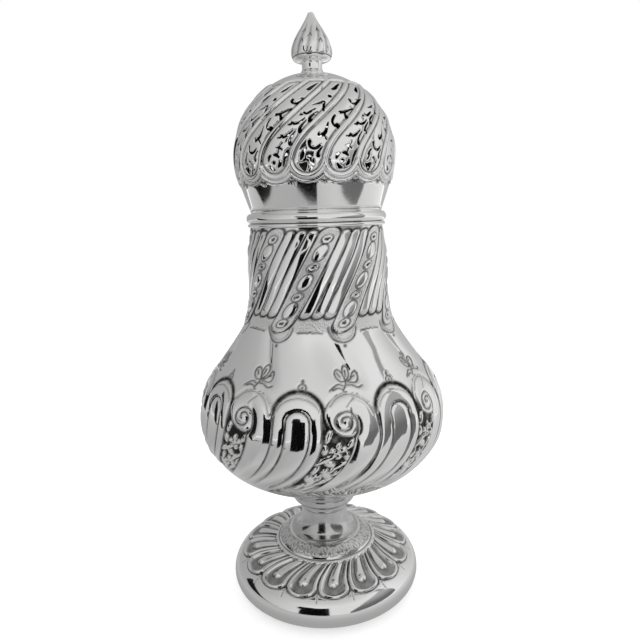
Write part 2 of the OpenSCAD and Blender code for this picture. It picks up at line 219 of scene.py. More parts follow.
floor_radius = 1.2
floor_glow = 0.5
floor = studio_card("floor", disc(floor_radius, 0), 0.8)
floor.visible_camera = True
floor_tree = tree_of(floor)
floor_paths = add_node(floor_tree, "ShaderNodeLightPath").outputs
floor_seen = floor_paths["Is Camera Ray"]
for path in ("Is Glossy Ray", "Is Transmission Ray"):
    floor_seen = reckoned(floor_tree, "MAXIMUM", floor_seen, floor_paths[path])
glowing(floor, grey(1), reckoned(floor_tree, "MULTIPLY", floor_seen, floor_glow))

# The table glows, and only the silver sees it, in painted shades: a painted shadow darkest round the caster's
# foot, and painted light that makes it brighter on the right than on the left.
table_radius = 0.8
table_over_floor = 0.0002
table_shades = [(0.045, 0.36), (0.065, 0.46), (0.09, 0.54), (0.17, 0.48), (0.34, 0.52), (1, 0.76)]
table_reach = 0.12
table_strengths = (0.88, 1.3)
table = studio_card("table", disc(table_radius, table_over_floor), 0)
table_tree = tree_of(table)
table_place = object_place(table_tree)
table_away = add_node(table_tree, "ShaderNodeVectorMath", {"operation": "LENGTH"}, Vector=table_place)
table_share = reckoned(table_tree, "DIVIDE", table_away.outputs["Value"], table_radius)
table_side = sides(table_tree, table_place)["X"]
table_light = ranged(table_tree, table_side, -table_reach, table_reach, *table_strengths)
mirrored_only(table, shade_ramp(table_tree, table_share, table_shades), table_light)

slit_outline = [(-0.12, 0), (0.008, 0), (0.008, 0.168), (-0.12, 0.168)]
upright_card("front_slit", (0, -0.215), (1, 0), slit_outline, 0.004)
above_outline = [(-0.11, 0.27), (0.09, 0.24), (0.08, 0.38), (-0.1, 0.42)]
upright_card("dark_above", (-0.2, -0.44), (1, 0), above_outline, 0.01)
left_outline = [(0.065, 0.068), (0.03, 0.045), (-0.045, 0.03), (-0.26, 0.006), (-0.1, 0.034), (-0.007, 0.104),
                (0.077, 0.167)]
upright_card("left_opening", (-0.25, 0), (0, 1), left_outline, 0.01)
right_outline = [(-0.17, 0), (-0.055, 0.012), (0.047, 0.024), (0.076, 0.045), (0.084, 0.168), (0.1, 0.3),
                 (0.095, 0.4), (0.075, 0.4), (0.066, 0.25), (-0.064, 0.157), (-0.17, 0.03)]
# The grey opening glows in painted shades that only the silver sees: darkest low down, lightest at middle
# height.
right_top = 0.4
right_shades = [(0.18, 0.15), (0.42, 0.42), (0.55, 0.42), (0.75, 0.24)]
right_opening = upright_card("right_opening", (0.195, -0.11), (0.11, 0.205), right_outline, 0)
right_tree = tree_of(right_opening)
right_height = ranged(right_tree, sides(right_tree, object_place(right_tree))["Z"], 0.0, right_top)
mirrored_only(right_opening, shade_ramp(right_tree, right_height, right_shades))

# Foot rim: a flat silver wire, soldered inside the foot's rolled edge, which the caster stands on.
# Its two lower corners are eased, as a wire's are after years on a table.
MM = 0.001
DEG = math.pi / 180


def add_sockets(tree, way, **kinds):
    """Named sockets of a node group."""
    return {label: tree.interface.new_socket(label, in_out=way, socket_type=f"NodeSocket{kind}")
            for label, kind in kinds.items()}


silver_wear = bpy.data.node_groups.new("silver_wear", "ShaderNodeTree")
add_sockets(silver_wear, "INPUT", Recess="Float", Matting="Float", Polish="Float", Dullness="Float",
            Tarnish="Float")
add_sockets(silver_wear, "OUTPUT", Colour="Color", Roughness="Float", Height="Float")
wear_in = silver_wear.nodes.new("NodeGroupInput").outputs
wear_place = object_place(silver_wear)


def wear_marks(scale, detail, distortion=0.0):
    """Uneven marks all over the silver, finer at a larger scale."""
    marks = add_node(silver_wear, "ShaderNodeTexNoise", Vector=wear_place, Scale=scale, Detail=detail,
                     Distortion=distortion)
    return marks.outputs["Fac"]


def wear_times(first, second):
    return reckoned(silver_wear, "MULTIPLY", first, second)


def wear_plus(first, second):
    return reckoned(silver_wear, "ADD", first, second)


# Each point's share takes the colour towards near black: partly tarnish in the chased lines, partly painted
# shade in the lines, hollows and other places the reliefs give.
clean_colour = (0.86, 0.86, 0.855, 1)
tarnish_and_shade_colour = (0.035, 0.034, 0.033, 1)
tarnish_and_shade_patchy = 0.9
tarnish_and_shade_even = 0.55
rub_height = 0.02
punch_height = 2.4
punch_roughness = 0.36
rub_marks = wear_marks(1900.0, 6.0, 1.5)
hammer_marks = wear_marks(95.0, 1.0)
punch_marks = add_node(silver_wear, "ShaderNodeTexVoronoi", Vector=wear_place, Scale=1700.0)
tarnish_and_shade_spread = reckoned(silver_wear, "MULTIPLY_ADD", wear_marks(420.0, 4.0), tarnish_and_shade_patchy, tarnish_and_shade_even)
tarnish_and_shade_share = wear_times(wear_times(wear_in["Recess"], tarnish_and_shade_spread), wear_in["Tarnish"])
rubbed = wear_times(rub_marks, wear_in["Polish"])
dulled = wear_times(wear_in["Recess"], wear_in["Dullness"])
scattered = wear_times(wear_in["Matting"], punch_roughness)
worn_height = wear_plus(hammer_marks, wear_times(rub_marks, rub_height))
punched = wear_times(wear_times(punch_marks.outputs["Distance"], wear_in["Matting"]), punch_height)
worn_colour = mixed(silver_wear, tarnish_and_shade_share, clean_colour, tarnish_and_shade_colour)
add_node(silver_wear, "NodeGroupOutput", Colour=worn_colour, Height=wear_plus(worn_height, punched),
         Roughness=wear_plus(wear_plus(rubbed, dulled), scattered))


def silver(name, polish, dullness, tarnish_and_shade, waviness):
    """Silver darkened in its chased lines by tarnish and painted shade, with rub marks and the faint waves of
    hand-raised sheet.
    """
    material = bpy.data.materials.new(name)
    material.use_nodes = True
    tree = material.node_tree
    recess = add_node(tree, "ShaderNodeAttribute", {"attribute_name": "recess"}).outputs["Fac"]
    matting = add_node(tree, "ShaderNodeAttribute", {"attribute_name": "matting"}).outputs["Fac"]
    wear = add_node(tree, "ShaderNodeGroup", {"node_tree": silver_wear},
                    Recess=recess, Matting=matting, Polish=polish, Dullness=dullness, Tarnish=tarnish_and_shade)
    bump = add_node(tree, "ShaderNodeBump", Height=wear.outputs["Height"], Strength=1.0,
                    Distance=waviness * MM)
    shader = tree.nodes["Principled BSDF"]
    shader.inputs["Metallic"].default_value = 1
    tree.links.new(wear.outputs["Colour"], shader.inputs["Base Color"])
    tree.links.new(wear.outputs["Roughness"], shader.inputs["Roughness"])
    tree.links.new(bump.outputs["Normal"], shader.inputs["Normal"])
    return material


chased_silver = silver("chased_silver", polish=0.16, dullness=0.25, tarnish_and_shade=1.0, waviness=0.05)
polished_silver = silver("polished_silver", polish=0.16, dullness=0.2, tarnish_and_shade=0.9, waviness=0.03)
unpolished_silver = silver("unpolished_silver", polish=0.7, dullness=0.2, tarnish_and_shade=0.9, waviness=0.05)


def finished(piece, node, body, material):
    """Gives a piece its silver, and its place in the CAD model."""
    if not piece.data.materials:
        piece.data.materials.append(material)
    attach(piece, body)
    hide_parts(node)


def arc(centre, radius, start, end, steps):
    angles = np.linspace(start, end, steps + 1) * DEG
    return np.array(centre) + radius * np.stack([np.cos(angles), np.sin(angles)], axis=1)


def bezier(corners, steps):
    """Points of a cubic curve, with both its ends."""
    a, b, c, d = np.array(corners, float)
    t = np.linspace(0, 1, steps + 1)[:, None]
    return (1 - t) ** 3 * a + 3 * (1 - t) ** 2 * t * b + 3 * (1 - t) * t * t * c + t ** 3 * d


def mesh_piece(name, points, faces, **shares):
    """A smooth mesh from points in millimetres, with shares that say how each point was worked, or how much
    tarnish and painted shade it has.
    """
    mesh = bpy.data.meshes.new(name)
    mesh.from_pydata((np.asarray(points) * MM).tolist(), [], faces)
    mesh.shade_smooth()
    for label, share in shares.items():
        share = np.clip(share, 0, 1).astype(np.float32).ravel()
        mesh.attributes.new(label, "FLOAT", "POINT").data.foreach_set("value", share)
    piece = bpy.data.objects.new(name, mesh)
    scene.collection.objects.link(piece)
    return piece


SHARP_FROM = math.radians(40)


def turned(name, outline, closed=True, steps=192, painted_shade=0):
    """A piece turned from a run of radius and height that keeps the metal on its left."""
    outline = np.asarray(outline, float)
    azimuths = np.arange(steps) * 2 * math.pi / steps
    points = []
    rings = []
    for radius, height in outline:
        if radius < 1e-6:
            rings.append([len(points)] * steps)
            points.append((0, 0, height))
        else:
            rings.append(range(len(points), len(points) + steps))
            points += [(radius * math.sin(a), -radius * math.cos(a), height) for a in azimuths]
    pairs = list(zip(rings, rings[1:]))
    if closed:
        pairs.append((rings[-1], rings[0]))
    faces = []
    for low, high in pairs:
        for i in range(steps):
            j = (i + 1) % steps
            face = dict.fromkeys((low[i], low[j], high[j], high[i]))
            if len(face) > 2:
                faces.append(tuple(face))
    # The share given darkens the whole piece evenly, as painted shade.
    piece = mesh_piece(name, points, faces, recess=np.full(len(points), painted_shade))
    piece.data.set_sharp_from_angle(angle=SHARP_FROM)
    return piece


rest_r = 27.85
rest_w = 1.6
rest_h = 2
rest_ease = 0.25
foot_rim = turned("foot_rim_wire", np.concatenate([
    arc((rest_r - rest_ease, rest_ease), rest_ease, -90, 0, 4),
    [(rest_r, rest_h), (rest_r - rest_w, rest_h)],
    arc((rest_r - rest_w + rest_ease, rest_ease), rest_ease, -180, -90, 4)]))
finished(foot_rim, "foot_rim", "caster", polished_silver)


# Foot: a dome raised from silver sheet, with a rolled edge and sixteen leaning lobes chased from the front.
# A plain ring and a narrow band of chased leaves lie between the lobes and the stem, which is soldered on.
sheet = 0.75


class Section:
    """Outside of a turned piece: radius, height and outward normal at a length along it."""

    def __init__(self, runs, zero=0, start=0):
        points = np.concatenate(runs)
        apart = np.linalg.norm(np.diff(points, axis=0), axis=1)
        self.points = points[np.r_[True, apart > 1e-6]]
        steps = np.linalg.norm(np.diff(self.points, axis=0), axis=1)
        length = np.r_[0, np.cumsum(steps)]
        nearest = np.argmin(np.linalg.norm(self.points - runs[zero][0], axis=1))
        self.length = length - length[nearest] + start
        heading = np.gradient(self.points, self.length, axis=0)
        self.normal = np.stack([heading[:, 1], -heading[:, 0]], axis=1)

    def at(self, s):
        r, z = (np.interp(s, self.length, self.points[:, i]) for i in (0, 1))
        normal_r, normal_z = (np.interp(s, self.length, self.normal[:, i]) for i in (0, 1))
        size = np.hypot(normal_r, normal_z)
        return r, z, normal_r / size, normal_z / size

    def inside(self, depth):
        """The section moved inwards, in the order that turns its back to the metal."""
        size = np.linalg.norm(self.normal, axis=1, keepdims=True)
        moved = self.points - depth * self.normal / size
        return np.maximum(moved, [0, -np.inf])[::-1]


def spaced(*stops):
    """Lengths from stop to stop, each stop with the spacing that follows it."""
    runs = [np.linspace(a, b, max(1, round((b - a) / gap)), endpoint=False)
            for (a, gap), (b, _) in zip(stops, stops[1:])]
    return np.concatenate([*runs, [stops[-1][0]]])


def smooth(low, high, x):
    t = np.clip((x - low) / (high - low), 0, 1)
    return t * t * (3 - 2 * t)


def within(rise, fall, x):
    """One between two soft ends, each given by where it starts and stops."""
    return smooth(*rise, x) * (1 - smooth(*fall, x))


def dent(d, half):
    """One in the middle of a chased mark, falling to nothing at its half width."""
    return np.clip(1 - (d / half) ** 2, 0, None) ** 2


def pillow(d, width):
    """Rounded rise from a chased line to a full form, as a share of its height."""
    t = np.clip(d / width, 0, 1)
    return t * (2 - t)


def wrap(azimuth, period):
    return (azimuth + period / 2) % period - period / 2


def smooth_line(points, steps=6):
    """A curve through the given points."""
    p = np.array(points, float)
    p = np.vstack([2 * p[0] - p[1], p, 2 * p[-1] - p[-2]])
    run = []
    for a, b, c, d in zip(p[:-3], p[1:-2], p[2:-1], p[3:]):
        for t in np.arange(steps) / steps:
            run.append((2 * b + (c - a) * t + (2 * a - 5 * b + 4 * c - d) * t ** 2
                        + (3 * b - a - 3 * c + d) * t ** 3) / 2)
    return np.array([*run, p[-2]])


def to_lines(azimuth, s, r, lines, period, reach=4):
    """Distance in millimetres to the nearest of the lines, which repeat round the piece, or 99 far off."""
    best = np.full(azimuth.shape, 99.0)
    for line in lines:
        start = np.asarray(line, float)[:-1, :2]
        run = np.asarray(line, float)[1:, :2] - start
        length = np.hypot(*run.T) > 1e-6
        start, run = start[length], run[length]
        for shift in (-period, 0, period):
            away = azimuth - shift
            slack = reach / (r * DEG)
            near = ((s > start[:, 1].min() - reach) & (s < (start + run)[:, 1].max() + reach)
                    & (away > np.minimum(start, start + run)[:, 0].min() - slack)
                    & (away < np.maximum(start, start + run)[:, 0].max() + slack))
            if not near.any():
                continue
            scale = r[near][:, None] * DEG
            x = (away[near][:, None] - start[:, 0]) * scale
            y = s[near][:, None] - start[:, 1]
            run_x = run[:, 0] * scale
            along = np.clip((x * run_x + y * run[:, 1]) / (run_x ** 2 + run[:, 1] ** 2), 0, 1)
            gap = np.hypot(x - along * run_x, y - along * run[:, 1]).min(axis=1)
            best[near] = np.minimum(best[near], gap)
    return best


ring_tree = bpy.data.node_groups.new("repeat_round_axis", "GeometryNodeTree")
ring_sockets = add_sockets(ring_tree, "INPUT", Geometry="Geometry", Count="Int", Seam="Float",
                           Material="Material")
add_sockets(ring_tree, "OUTPUT", Geometry="Geometry")
ring_in = ring_tree.nodes.new("NodeGroupInput").outputs
ring_points = add_node(ring_tree, "GeometryNodePoints", Count=ring_in["Count"]).outputs[0]
ring_step = reckoned(ring_tree, "DIVIDE", 2 * math.pi, ring_in["Count"])
ring_index = ring_tree.nodes.new("GeometryNodeInputIndex").outputs[0]
ring_turn = reckoned(ring_tree, "MULTIPLY", ring_step, ring_index)
ring_angles = add_node(ring_tree, "ShaderNodeCombineXYZ", Z=ring_turn).outputs[0]
ring_rotation = add_node(ring_tree, "FunctionNodeEulerToRotation", Euler=ring_angles).outputs[0]
ring_metal = add_node(ring_tree, "GeometryNodeInstanceOnPoints", Points=ring_points,
                      Instance=ring_in["Geometry"], Rotation=ring_rotation).outputs[0]
for kind, values in [("GeometryNodeRealizeInstances", {}),
                     ("GeometryNodeMergeByDistance", {"Distance": ring_in["Seam"]}),
                     ("GeometryNodeSetShadeSmooth", {}),
                     ("GeometryNodeSetMaterial", {"Material": ring_in["Material"]})]:
    ring_metal = add_node(ring_tree, kind, Geometry=ring_metal, **values).outputs[0]
add_node(ring_tree, "NodeGroupOutput", Geometry=ring_metal)
seam = 0.002


def repeated(sector, count, material):
    """Repeats a sector round the axis into one closed ring of metal."""
    ring = sector.modifiers.new("ring", "NODES")
    ring.node_group = ring_tree
    for label, value in [("Count", count), ("Seam", seam * MM), ("Material", material)]:
        ring[ring_sockets[label].identifier] = value
    made = bpy.data.meshes.new_from_object(sector.evaluated_get(bpy.context.evaluated_depsgraph_get()))
    sector.modifiers.remove(ring)
    sector.data = made
    return sector


def chased_ring(name, section, rows, columns, period, sweep, relief):
    """A chased surface: one repeat is a grid that leans with its ornament, raised and sunk by the relief."""
    s, turn = np.meshgrid(rows, np.linspace(0, period, columns + 1), indexing="ij")
    azimuth = turn + sweep(s)
    r, z, normal_r, normal_z = section.at(s)
    height, recess, matting = relief(azimuth, s, np.maximum(r, 1))
    r = np.maximum(r + height * normal_r, 0)
    z = z + height * normal_z
    points = np.stack([r * np.sin(azimuth * DEG), -r * np.cos(azimuth * DEG), z], axis=-1).reshape(-1, 3)
    across = columns + 1
    faces = [(i * across + j, i * across + j + 1, (i + 1) * across + j + 1, (i + 1) * across + j)
             for i in range(len(rows) - 1) for j in range(columns)]
    sector = mesh_piece(name, points, faces, recess=recess, matting=matting)
    return repeated(sector, round(360 / period), chased_silver)


foot_r = 34.5
roll_r = 4.8
roll_low = 1.0
roll_inner_r = 27.9
step_r = 18.5
step_z = 15.6
step_h = 1.2
flare_r = 12.5
foot_top = 20
stem_bore_r = 6.8
widest_z = roll_low + roll_r
band_foot = (step_r - step_h, step_z + step_h)
foot_roll = np.concatenate([[(roll_inner_r, roll_low)], arc((foot_r - roll_r, widest_z), roll_r, -90, 0, 24)])
foot_dome = bezier([(foot_r, widest_z), (foot_r, 12.2), (27.2, 13.2), (step_r, step_z)], 200)
foot_step = bezier([(step_r, step_z), (step_r + 0.3, step_z + 0.5), (step_r, step_z + 1), band_foot], 24)
foot_band = bezier([band_foot, (step_r - step_h, 18), (13.7, foot_top), (flare_r, foot_top)], 80)
step_s = 20.73
foot_section = Section([foot_roll, foot_dome, foot_step, foot_band, [(stem_bore_r, foot_top)]], 2, step_s)

FOOT_PERIOD = 22.5
foot_curl = 0.115
foot_curl_from = 11.5
foot_curl_over = 11
foot_lobe_at = 5
foot_lobe_half = 5.2
foot_lobe_line = 11
foot_lobe_low = 3.6
foot_lobe_fade = (20.4, 22.0)
border_half = 0.95
border_rise = 0.6
foot_line_half = 0.55
foot_groove = 0.2
foot_groove_half = 0.6
foot_ground = 0.25
foot_ground_from = (1.4, 2.2)
foot_ground_dark = 0.62
foot_dark_from = (1.2, 2.4)
tongue_line = 13.1
tongue_half = 0.4
tongue_low = 2.0
tongue_rise = 0.75
tongue_round = 0.8
tongue_line_half = 0.7
tongue_dark = 0.85
ball_s = 12.9
ball_r = 1.5
ball_rise = 0.3
dashes = (9.6, 8.6, 7.6, 6.7)
dash_half = (0.34, 0.48)
dash_depth = 0.3
barb_from = (7.9, 8.3)
barb_to = (9.8, 10.1)
barb_slope = 0.75
barb_half = 0.34
barb_depth = 0.25
barb_dark = 0.9
ring_line_s = 22.5
ring_line_half = 0.35
ring_line_depth = 0.12
ring_line_dark = 0.8
band_from = (23.1, 23.5)
band_to = (27.7, 28.1)
band_depth = 0.02
band_dark = 0.25
leaf_half = 0.62
leaf_rise = 0.06
leaf_line_out = 0.65
leaf_line_half = 0.35
leaf_line_dark = 0.4
band_leaves = [
    smooth_line([(1, 24.2), (5, 26.2), (10, 26.9), (14, 25.9), (13.6, 24.6), (11.4, 24.6), (10.8, 25.5)]),
    smooth_line([(14, 25.9), (17, 27.2), (20.5, 27.2), (22.6, 25.6)]),
    smooth_line([(17, 27.2), (18, 25.6), (20, 24.3)]),
    smooth_line([(5, 26.2), (4.4, 27.3), (2.4, 27.6)]),
    smooth_line([(8, 26.7), (7.2, 25.4), (7.6, 24.2)])]


def foot_sweep(s):
    return foot_curl * np.clip(s - foot_curl_from, 0, foot_curl_over) ** 2


def foot_relief(azimuth, s, r):
    straight = azimuth - foot_sweep(s)
    half = FOOT_PERIOD / 2 * r * DEG
    x = wrap(straight - foot_lobe_at, FOOT_PERIOD) * r * DEG
    lobe = np.hypot(x / half, np.clip(foot_lobe_line - s, 0, None) / foot_lobe_low)
    edge = (1 - lobe) * half
    inwards = edge * foot_lobe_half / half
    tongue = np.hypot(x / (tongue_half * half), np.clip(tongue_line - s, 0, None) / tongue_low)
    present = 1 - smooth(*foot_lobe_fade, s)
    border = np.clip(1 - (inwards / border_half - 1) ** 2, 0, None)
    ball = dent(np.hypot(x, s - ball_s), ball_r)
    crown = np.clip(1 - tongue ** 2, 0, None) ** tongue_round
    raised = border_rise * border + tongue_rise * crown + ball_rise * ball
    sunk = foot_groove * dent(edge, foot_groove_half)
    sunk = sunk + foot_ground * (lobe < 1) * smooth(*foot_ground_from, inwards)
    # Painted shade: the ground inside each lobe, round its tongue, is darkened as the shade in the lobe's
    # hollow U.
    ground = foot_ground_dark * (tongue > 1) * smooth(*foot_dark_from, inwards)
    tongue_edge = tongue_dark * dent((tongue - 1) * tongue_low, tongue_line_half)
    recess = present * np.maximum.reduce([dent(edge, foot_line_half), tongue_edge, ground])
    to_cusp = wrap(straight - foot_lobe_at - FOOT_PERIOD / 2, FOOT_PERIOD) * r * DEG
    dash = [dent(np.hypot(to_cusp / dash_half[0], (s - dash_s) / dash_half[1]), 1) for dash_s in dashes]
    barb = dent(np.abs(to_cusp) - barb_slope * (barb_to[1] - s), barb_half) * within(barb_from, barb_to, s)
    in_band = within(band_from, band_to, s)
    to_leaf = to_lines(azimuth % FOOT_PERIOD, s, r, band_leaves, FOOT_PERIOD)
    band = leaf_rise * dent(to_leaf, leaf_half) - band_depth
    band_recess = band_dark + leaf_line_dark * dent(to_leaf - leaf_line_out, leaf_line_half)
    ring_line = dent(s - ring_line_s, ring_line_half)
    height = present * (raised - sunk) + in_band * band
    height = height - dash_depth * sum(dash) - barb_depth * barb - ring_line_depth * ring_line
    recess = np.maximum.reduce([
        recess, *dash, barb_dark * barb, in_band * band_recess, ring_line_dark * ring_line])
    return height, recess, np.zeros_like(s)


foot_rows = spaced((float(foot_section.length[0]), 0.7), (3.5, 0.4), (6.8, 0.3), (22.2, 0.25), (28.6, 1.6),
                   (34.2, 1))
foot = chased_ring("foot_dome", foot_section, foot_rows, 40, FOOT_PERIOD, foot_sweep, foot_relief)
finished(foot, "foot", "caster", chased_silver)
foot_hollow = turned("foot_inside", np.concatenate([
    foot_section.inside(sheet)[1:-2],
    [(roll_inner_r + 0.05, roll_low + sheet), (roll_inner_r, roll_low)]]), closed=False, steps=96)
finished(foot_hollow, "foot", "caster", unpolished_silver)

# Stem: a waisted tube of silver, turned and soldered to the foot.
# A plain ring stands out near its top, under the collar.
waist_r = 8.1
stem_top = 31
flare_top = 20.5
knop_z = 29.6
knop_half = 0.6
knop_r = 8.6
collar_foot_r = 8.9
stem_edge = 0.25
# Painted shade: the stem and the collar, under the bowl, are darkened evenly all over.
plain_painted_shade = 0.4
stem = turned("stem_waist", np.concatenate([
    [(stem_bore_r, foot_top)],
    arc((flare_r - stem_edge, foot_top + stem_edge), stem_edge, -90, 90, 8),
    bezier([(flare_r - 2 * stem_edge, flare_top), (9.3, 21.6), (8.5, 24.6),
            (waist_r, knop_z - knop_half)], 40),
    arc((knop_r - knop_half, knop_z), knop_half, -90, 90, 16),
    [(collar_foot_r, knop_z + knop_half), (collar_foot_r, stem_top), (stem_bore_r, stem_top)]]),
    painted_shade=plain_painted_shade)
finished(stem, "stem", "caster", polished_silver)

# Collar: a small flared ring of silver, turned from thick sheet.
# It is soldered between the stem and the bowl, and hides their joint.
collar_r = 11.4
collar_top = 35
collar_edge = 0.4
collar = turned("collar_flare", np.concatenate([
    bezier([(collar_foot_r, stem_top), (collar_foot_r, 32.4), (collar_r, 32.0), (collar_r, 33.2)], 24),
    arc((collar_r - collar_edge, collar_top - collar_edge), collar_edge, 0, 90, 6),
    [(stem_bore_r, collar_top), (stem_bore_r, stem_top)]]), painted_shade=plain_painted_shade)
finished(collar, "collar", "caster", polished_silver)

# Body: bowl, shoulder and neck raised in one piece of silver sheet and chased all round.
# Eight arches alternate with eight scrolls, whose legs sweep down under the bowl past panels of flowers.
# Leaning strips and flutes cover the neck.
bowl_z = 68
bowl_r = 43.1
bowl_round = 23.8
BOWL_FROM = -52
BOWL_TO = 35
neck_z = 114
neck_r = 23.81
mouth_z = 132.4
mouth_r = 22.51
bowl_side = arc((bowl_r - bowl_round, bowl_z), bowl_round, BOWL_FROM, BOWL_TO, 200)


def bowl_tangent(angle):
    return np.array([-math.sin(angle * DEG), math.cos(angle * DEG)])


body_under = bezier([(collar_r, collar_top), (collar_r + 6.8, collar_top + 6.4),
                     bowl_side[0] - 5 * bowl_tangent(BOWL_FROM), bowl_side[0]], 120)
body_shoulder = bezier([bowl_side[-1], bowl_side[-1] + 14.6 * bowl_tangent(BOWL_TO),
                        (neck_r, neck_z - 14.6), (neck_r, neck_z)], 200)
body_neck = bezier([(neck_r, neck_z), (neck_r, neck_z + 13.8), (mouth_r, mouth_z - 6.4),
                    (mouth_r, mouth_z - 1.4)], 100)
body_section = Section([np.array([(0, collar_top), (6, collar_top)]), body_under, bowl_side, body_shoulder,
                        body_neck, np.array([(mouth_r, mouth_z)])], zero=1)
body_end = body_section.length[-1]

BODY_PERIOD = 45
leg_curl = 0.044
leg_curl_to = 54
neck_from = 82.2
neck_lean = 1.34
neck_lean_from = 84
LEG_END = 12


def body_sweep(s):
    """How far the grid and the ornament lean round the body at each length."""
    curled = -leg_curl * np.clip(leg_curl_to - s, 0, leg_curl_to) ** 2
    return curled + neck_lean * np.clip(s - neck_lean_from, 0, None)


def swept(points):
    """A line given in azimuths that the sweep of the bowl's legs is still to be added to."""
    line = np.array(points, float)
    line[:, 0] += body_sweep(line[:, 1])
    return line


def oval(centre, half_azimuth, half_length, start, end, steps=28):
    angles = np.linspace(start, end, steps + 1) * DEG
    around = np.stack([half_azimuth * np.cos(angles), half_length * np.sin(angles)], axis=1)
    return np.array(centre) + around


def leg(azimuth, top, bottom=LEG_END):
    return np.stack([np.full(30, float(azimuth)), np.linspace(bottom, top, 30)], axis=1)


def rounded(middle, half, spring, rise):
    """Outline of a form with two legs and a half-oval top."""
    top = oval((middle, spring), half, rise, 180, 0)
    return np.concatenate([leg(middle - half, spring), top, leg(middle + half, spring)[::-1]])


def rounded_top(azimuth, middle, half, spring, rise):
    return spring + rise * np.sqrt(np.clip(1 - ((azimuth - middle) / half) ** 2, 0, None))


arch_left = -20.6
arch_right = 0.3
arch_spring = 59.4
arch_form = ((arch_left + arch_right) / 2, (arch_right - arch_left) / 2, arch_spring, 6.9)
arch_ridge_in = 0.9
arch_ridge = oval((arch_form[0], 59.0), arch_form[1] - arch_ridge_in, 5.5, 165, 15)
tongue_middle = -10
tongue_across = 5
tongue_form = (tongue_middle, tongue_across, 57.1, 3.5)
panel_right = 13.0
scroll_points = [(24.2, 55), (23.6, 59.5), (21.2, 63), (16.8, 65.6), (11.4, 66.4), (6.4, 65.4), (2.6, 62.9),
                 (1.0, 59.8), (2.2, 57.0), (4.8, 54.7), (8.4, 53.2), (12.4, 52.9), (14.2, 53.9)]
scroll_over = np.array([(arch_right, arch_spring), (1.0, 61.2), *scroll_points[6:0:-1], (24.4, 58)])
scroll_under = np.array([(arch_right, 60.5), *scroll_points[7:12], (panel_right, 53)])
scroll_rim = smooth_line([(22.2, 58.5), (19.8, 62.4), (16, 64.7), (11.4, 65.4), (6.8, 64.4), (3.6, 62)])
scroll_spiral = smooth_line([
    (13.2, 52.4), (14.6, 54.2), (14.9, 56.6), (13.8, 58.9), (11.3, 60.2), (8.2, 59.9), (6, 58.4),
    (5.6, 56.6), (7.1, 55.2), (9.5, 54.7), (11.7, 55.4), (12.6, 57.1), (11.7, 58.4), (10.1, 58.8),
    (8.6, 58.2), (8.2, 57.2)])
scroll_crease = smooth_line([(10.8, 61.6), (12.4, 62.9), (14.4, 64.2)])
scroll_leg_top = 52.8
scroll_bead = (10.0, 57.5)
arch_lines = [swept(rounded(*arch_form))]
bowl_lines = arch_lines + [swept(line) for line in (
    rounded(*tongue_form), smooth_line(scroll_points), scroll_spiral, leg(panel_right, scroll_leg_top))]
bowl_fine_lines = [swept(line) for line in (arch_ridge, scroll_rim, scroll_crease)]
flower_petals = 5
petal_away = 1.75
petal_spread = 1.33


def flower(azimuth, s, start=20):
    """Blobs of a chased flower, a heart and the petals round it: place, half length, half width and turn."""
    blobs = [(azimuth, s, 0.8, 0.8, 0)]
    for i in range(flower_petals):
        turn = start + 360 * i / flower_petals
        across = petal_away * petal_spread * math.cos(turn * DEG)
        blobs.append((azimuth + across, s + petal_away * math.sin(turn * DEG), 1.1, 0.85, turn))
    return blobs


panel_blobs = [
    *flower(7.0, 48.6), *flower(7.6, 41.0, start=50),
    (2.6, 53.4, 2.3, 0.9, 70), (1.9, 49.4, 1.8, 0.9, 110), (11.9, 50.9, 1.9, 0.9, 60),
    (11.6, 47.2, 1.8, 0.8, 120), (3.0, 46.0, 2.5, 1.1, 35), (6.4, 44.9, 2.0, 1.0, 150),
    (10.6, 44.2, 2.2, 1.0, 40), (2.6, 42.6, 1.8, 0.9, 100), (12.0, 41.8, 1.6, 0.8, 80),
    (3.6, 39.2, 2.3, 1.1, 140), (10.8, 38.2, 2.2, 1.0, 60), (6.6, 37.2, 2.3, 1.1, 110),
    (9.0, 35.0, 1.8, 0.9, 70), (4.6, 35.4, 1.8, 0.9, 100)]


def blob_rise(azimuth, s, r, blobs):
    """Rounded rise of the leaves and petals, one in the middle of each."""
    rise = np.zeros_like(s)
    for at, at_s, long, wide, turn in blobs:
        x = (azimuth - at) * r * DEG
        y = s - at_s
        along = x * math.cos(turn * DEG) + y * math.sin(turn * DEG)
        across = y * math.cos(turn * DEG) - x * math.sin(turn * DEG)
        rise = np.maximum(rise, 1 - np.hypot(along / long, across / wide) ** 2)
    return rise


spray_lines = [smooth_line(p) for p in (
    [(10.5, 66.8), (11.8, 68.2), (12.6, 69.8)],
    [(12.4, 69.6), (9.6, 69.8), (7.6, 71.2), (7.4, 73.0), (9.2, 73.6), (11.2, 72.4), (12.4, 69.9)],
    [(12.8, 70), (11.6, 72), (12.2, 74.2), (13.8, 74.9), (15.2, 73.8), (14.8, 71.6), (13, 70)],
    [(13.2, 69.8), (15.6, 70.6), (17.2, 72.4), (19, 72.4), (19.4, 70.6), (17.6, 69.2), (13.4, 69.5)],
    [(11.6, 68), (8.6, 68.8), (6.2, 68.0), (4, 66.9)],
    [(10.2, 67.2), (8, 67.6), (5.6, 67.0)],
    [(12.2, 68.6), (15.4, 68.3), (18, 67.4), (20.4, 67.9)],
    [(12.9, 71.5), (13.3, 73.4)],
    [(9.8, 71.2), (8.6, 72.6)],
    [(15.8, 71.2), (17.8, 71.4)])]
arch_ring = (-9, 67.9)
arch_dot = (-9, 70.0)


def spot(azimuth, s, r, place, period=BODY_PERIOD):
    """Distance to one spot of the ornament."""
    return np.hypot(wrap(azimuth - place[0], period) * r * DEG, s - place[1])


valley_top = (6, 86)
valley_foot = (17, 71)
valley_deep = 1.15
valley_steep = 4.2
valley_gentle = 9
valley_round = 0.35
valley_from = (65, 73)
valley_to = (83, 89)


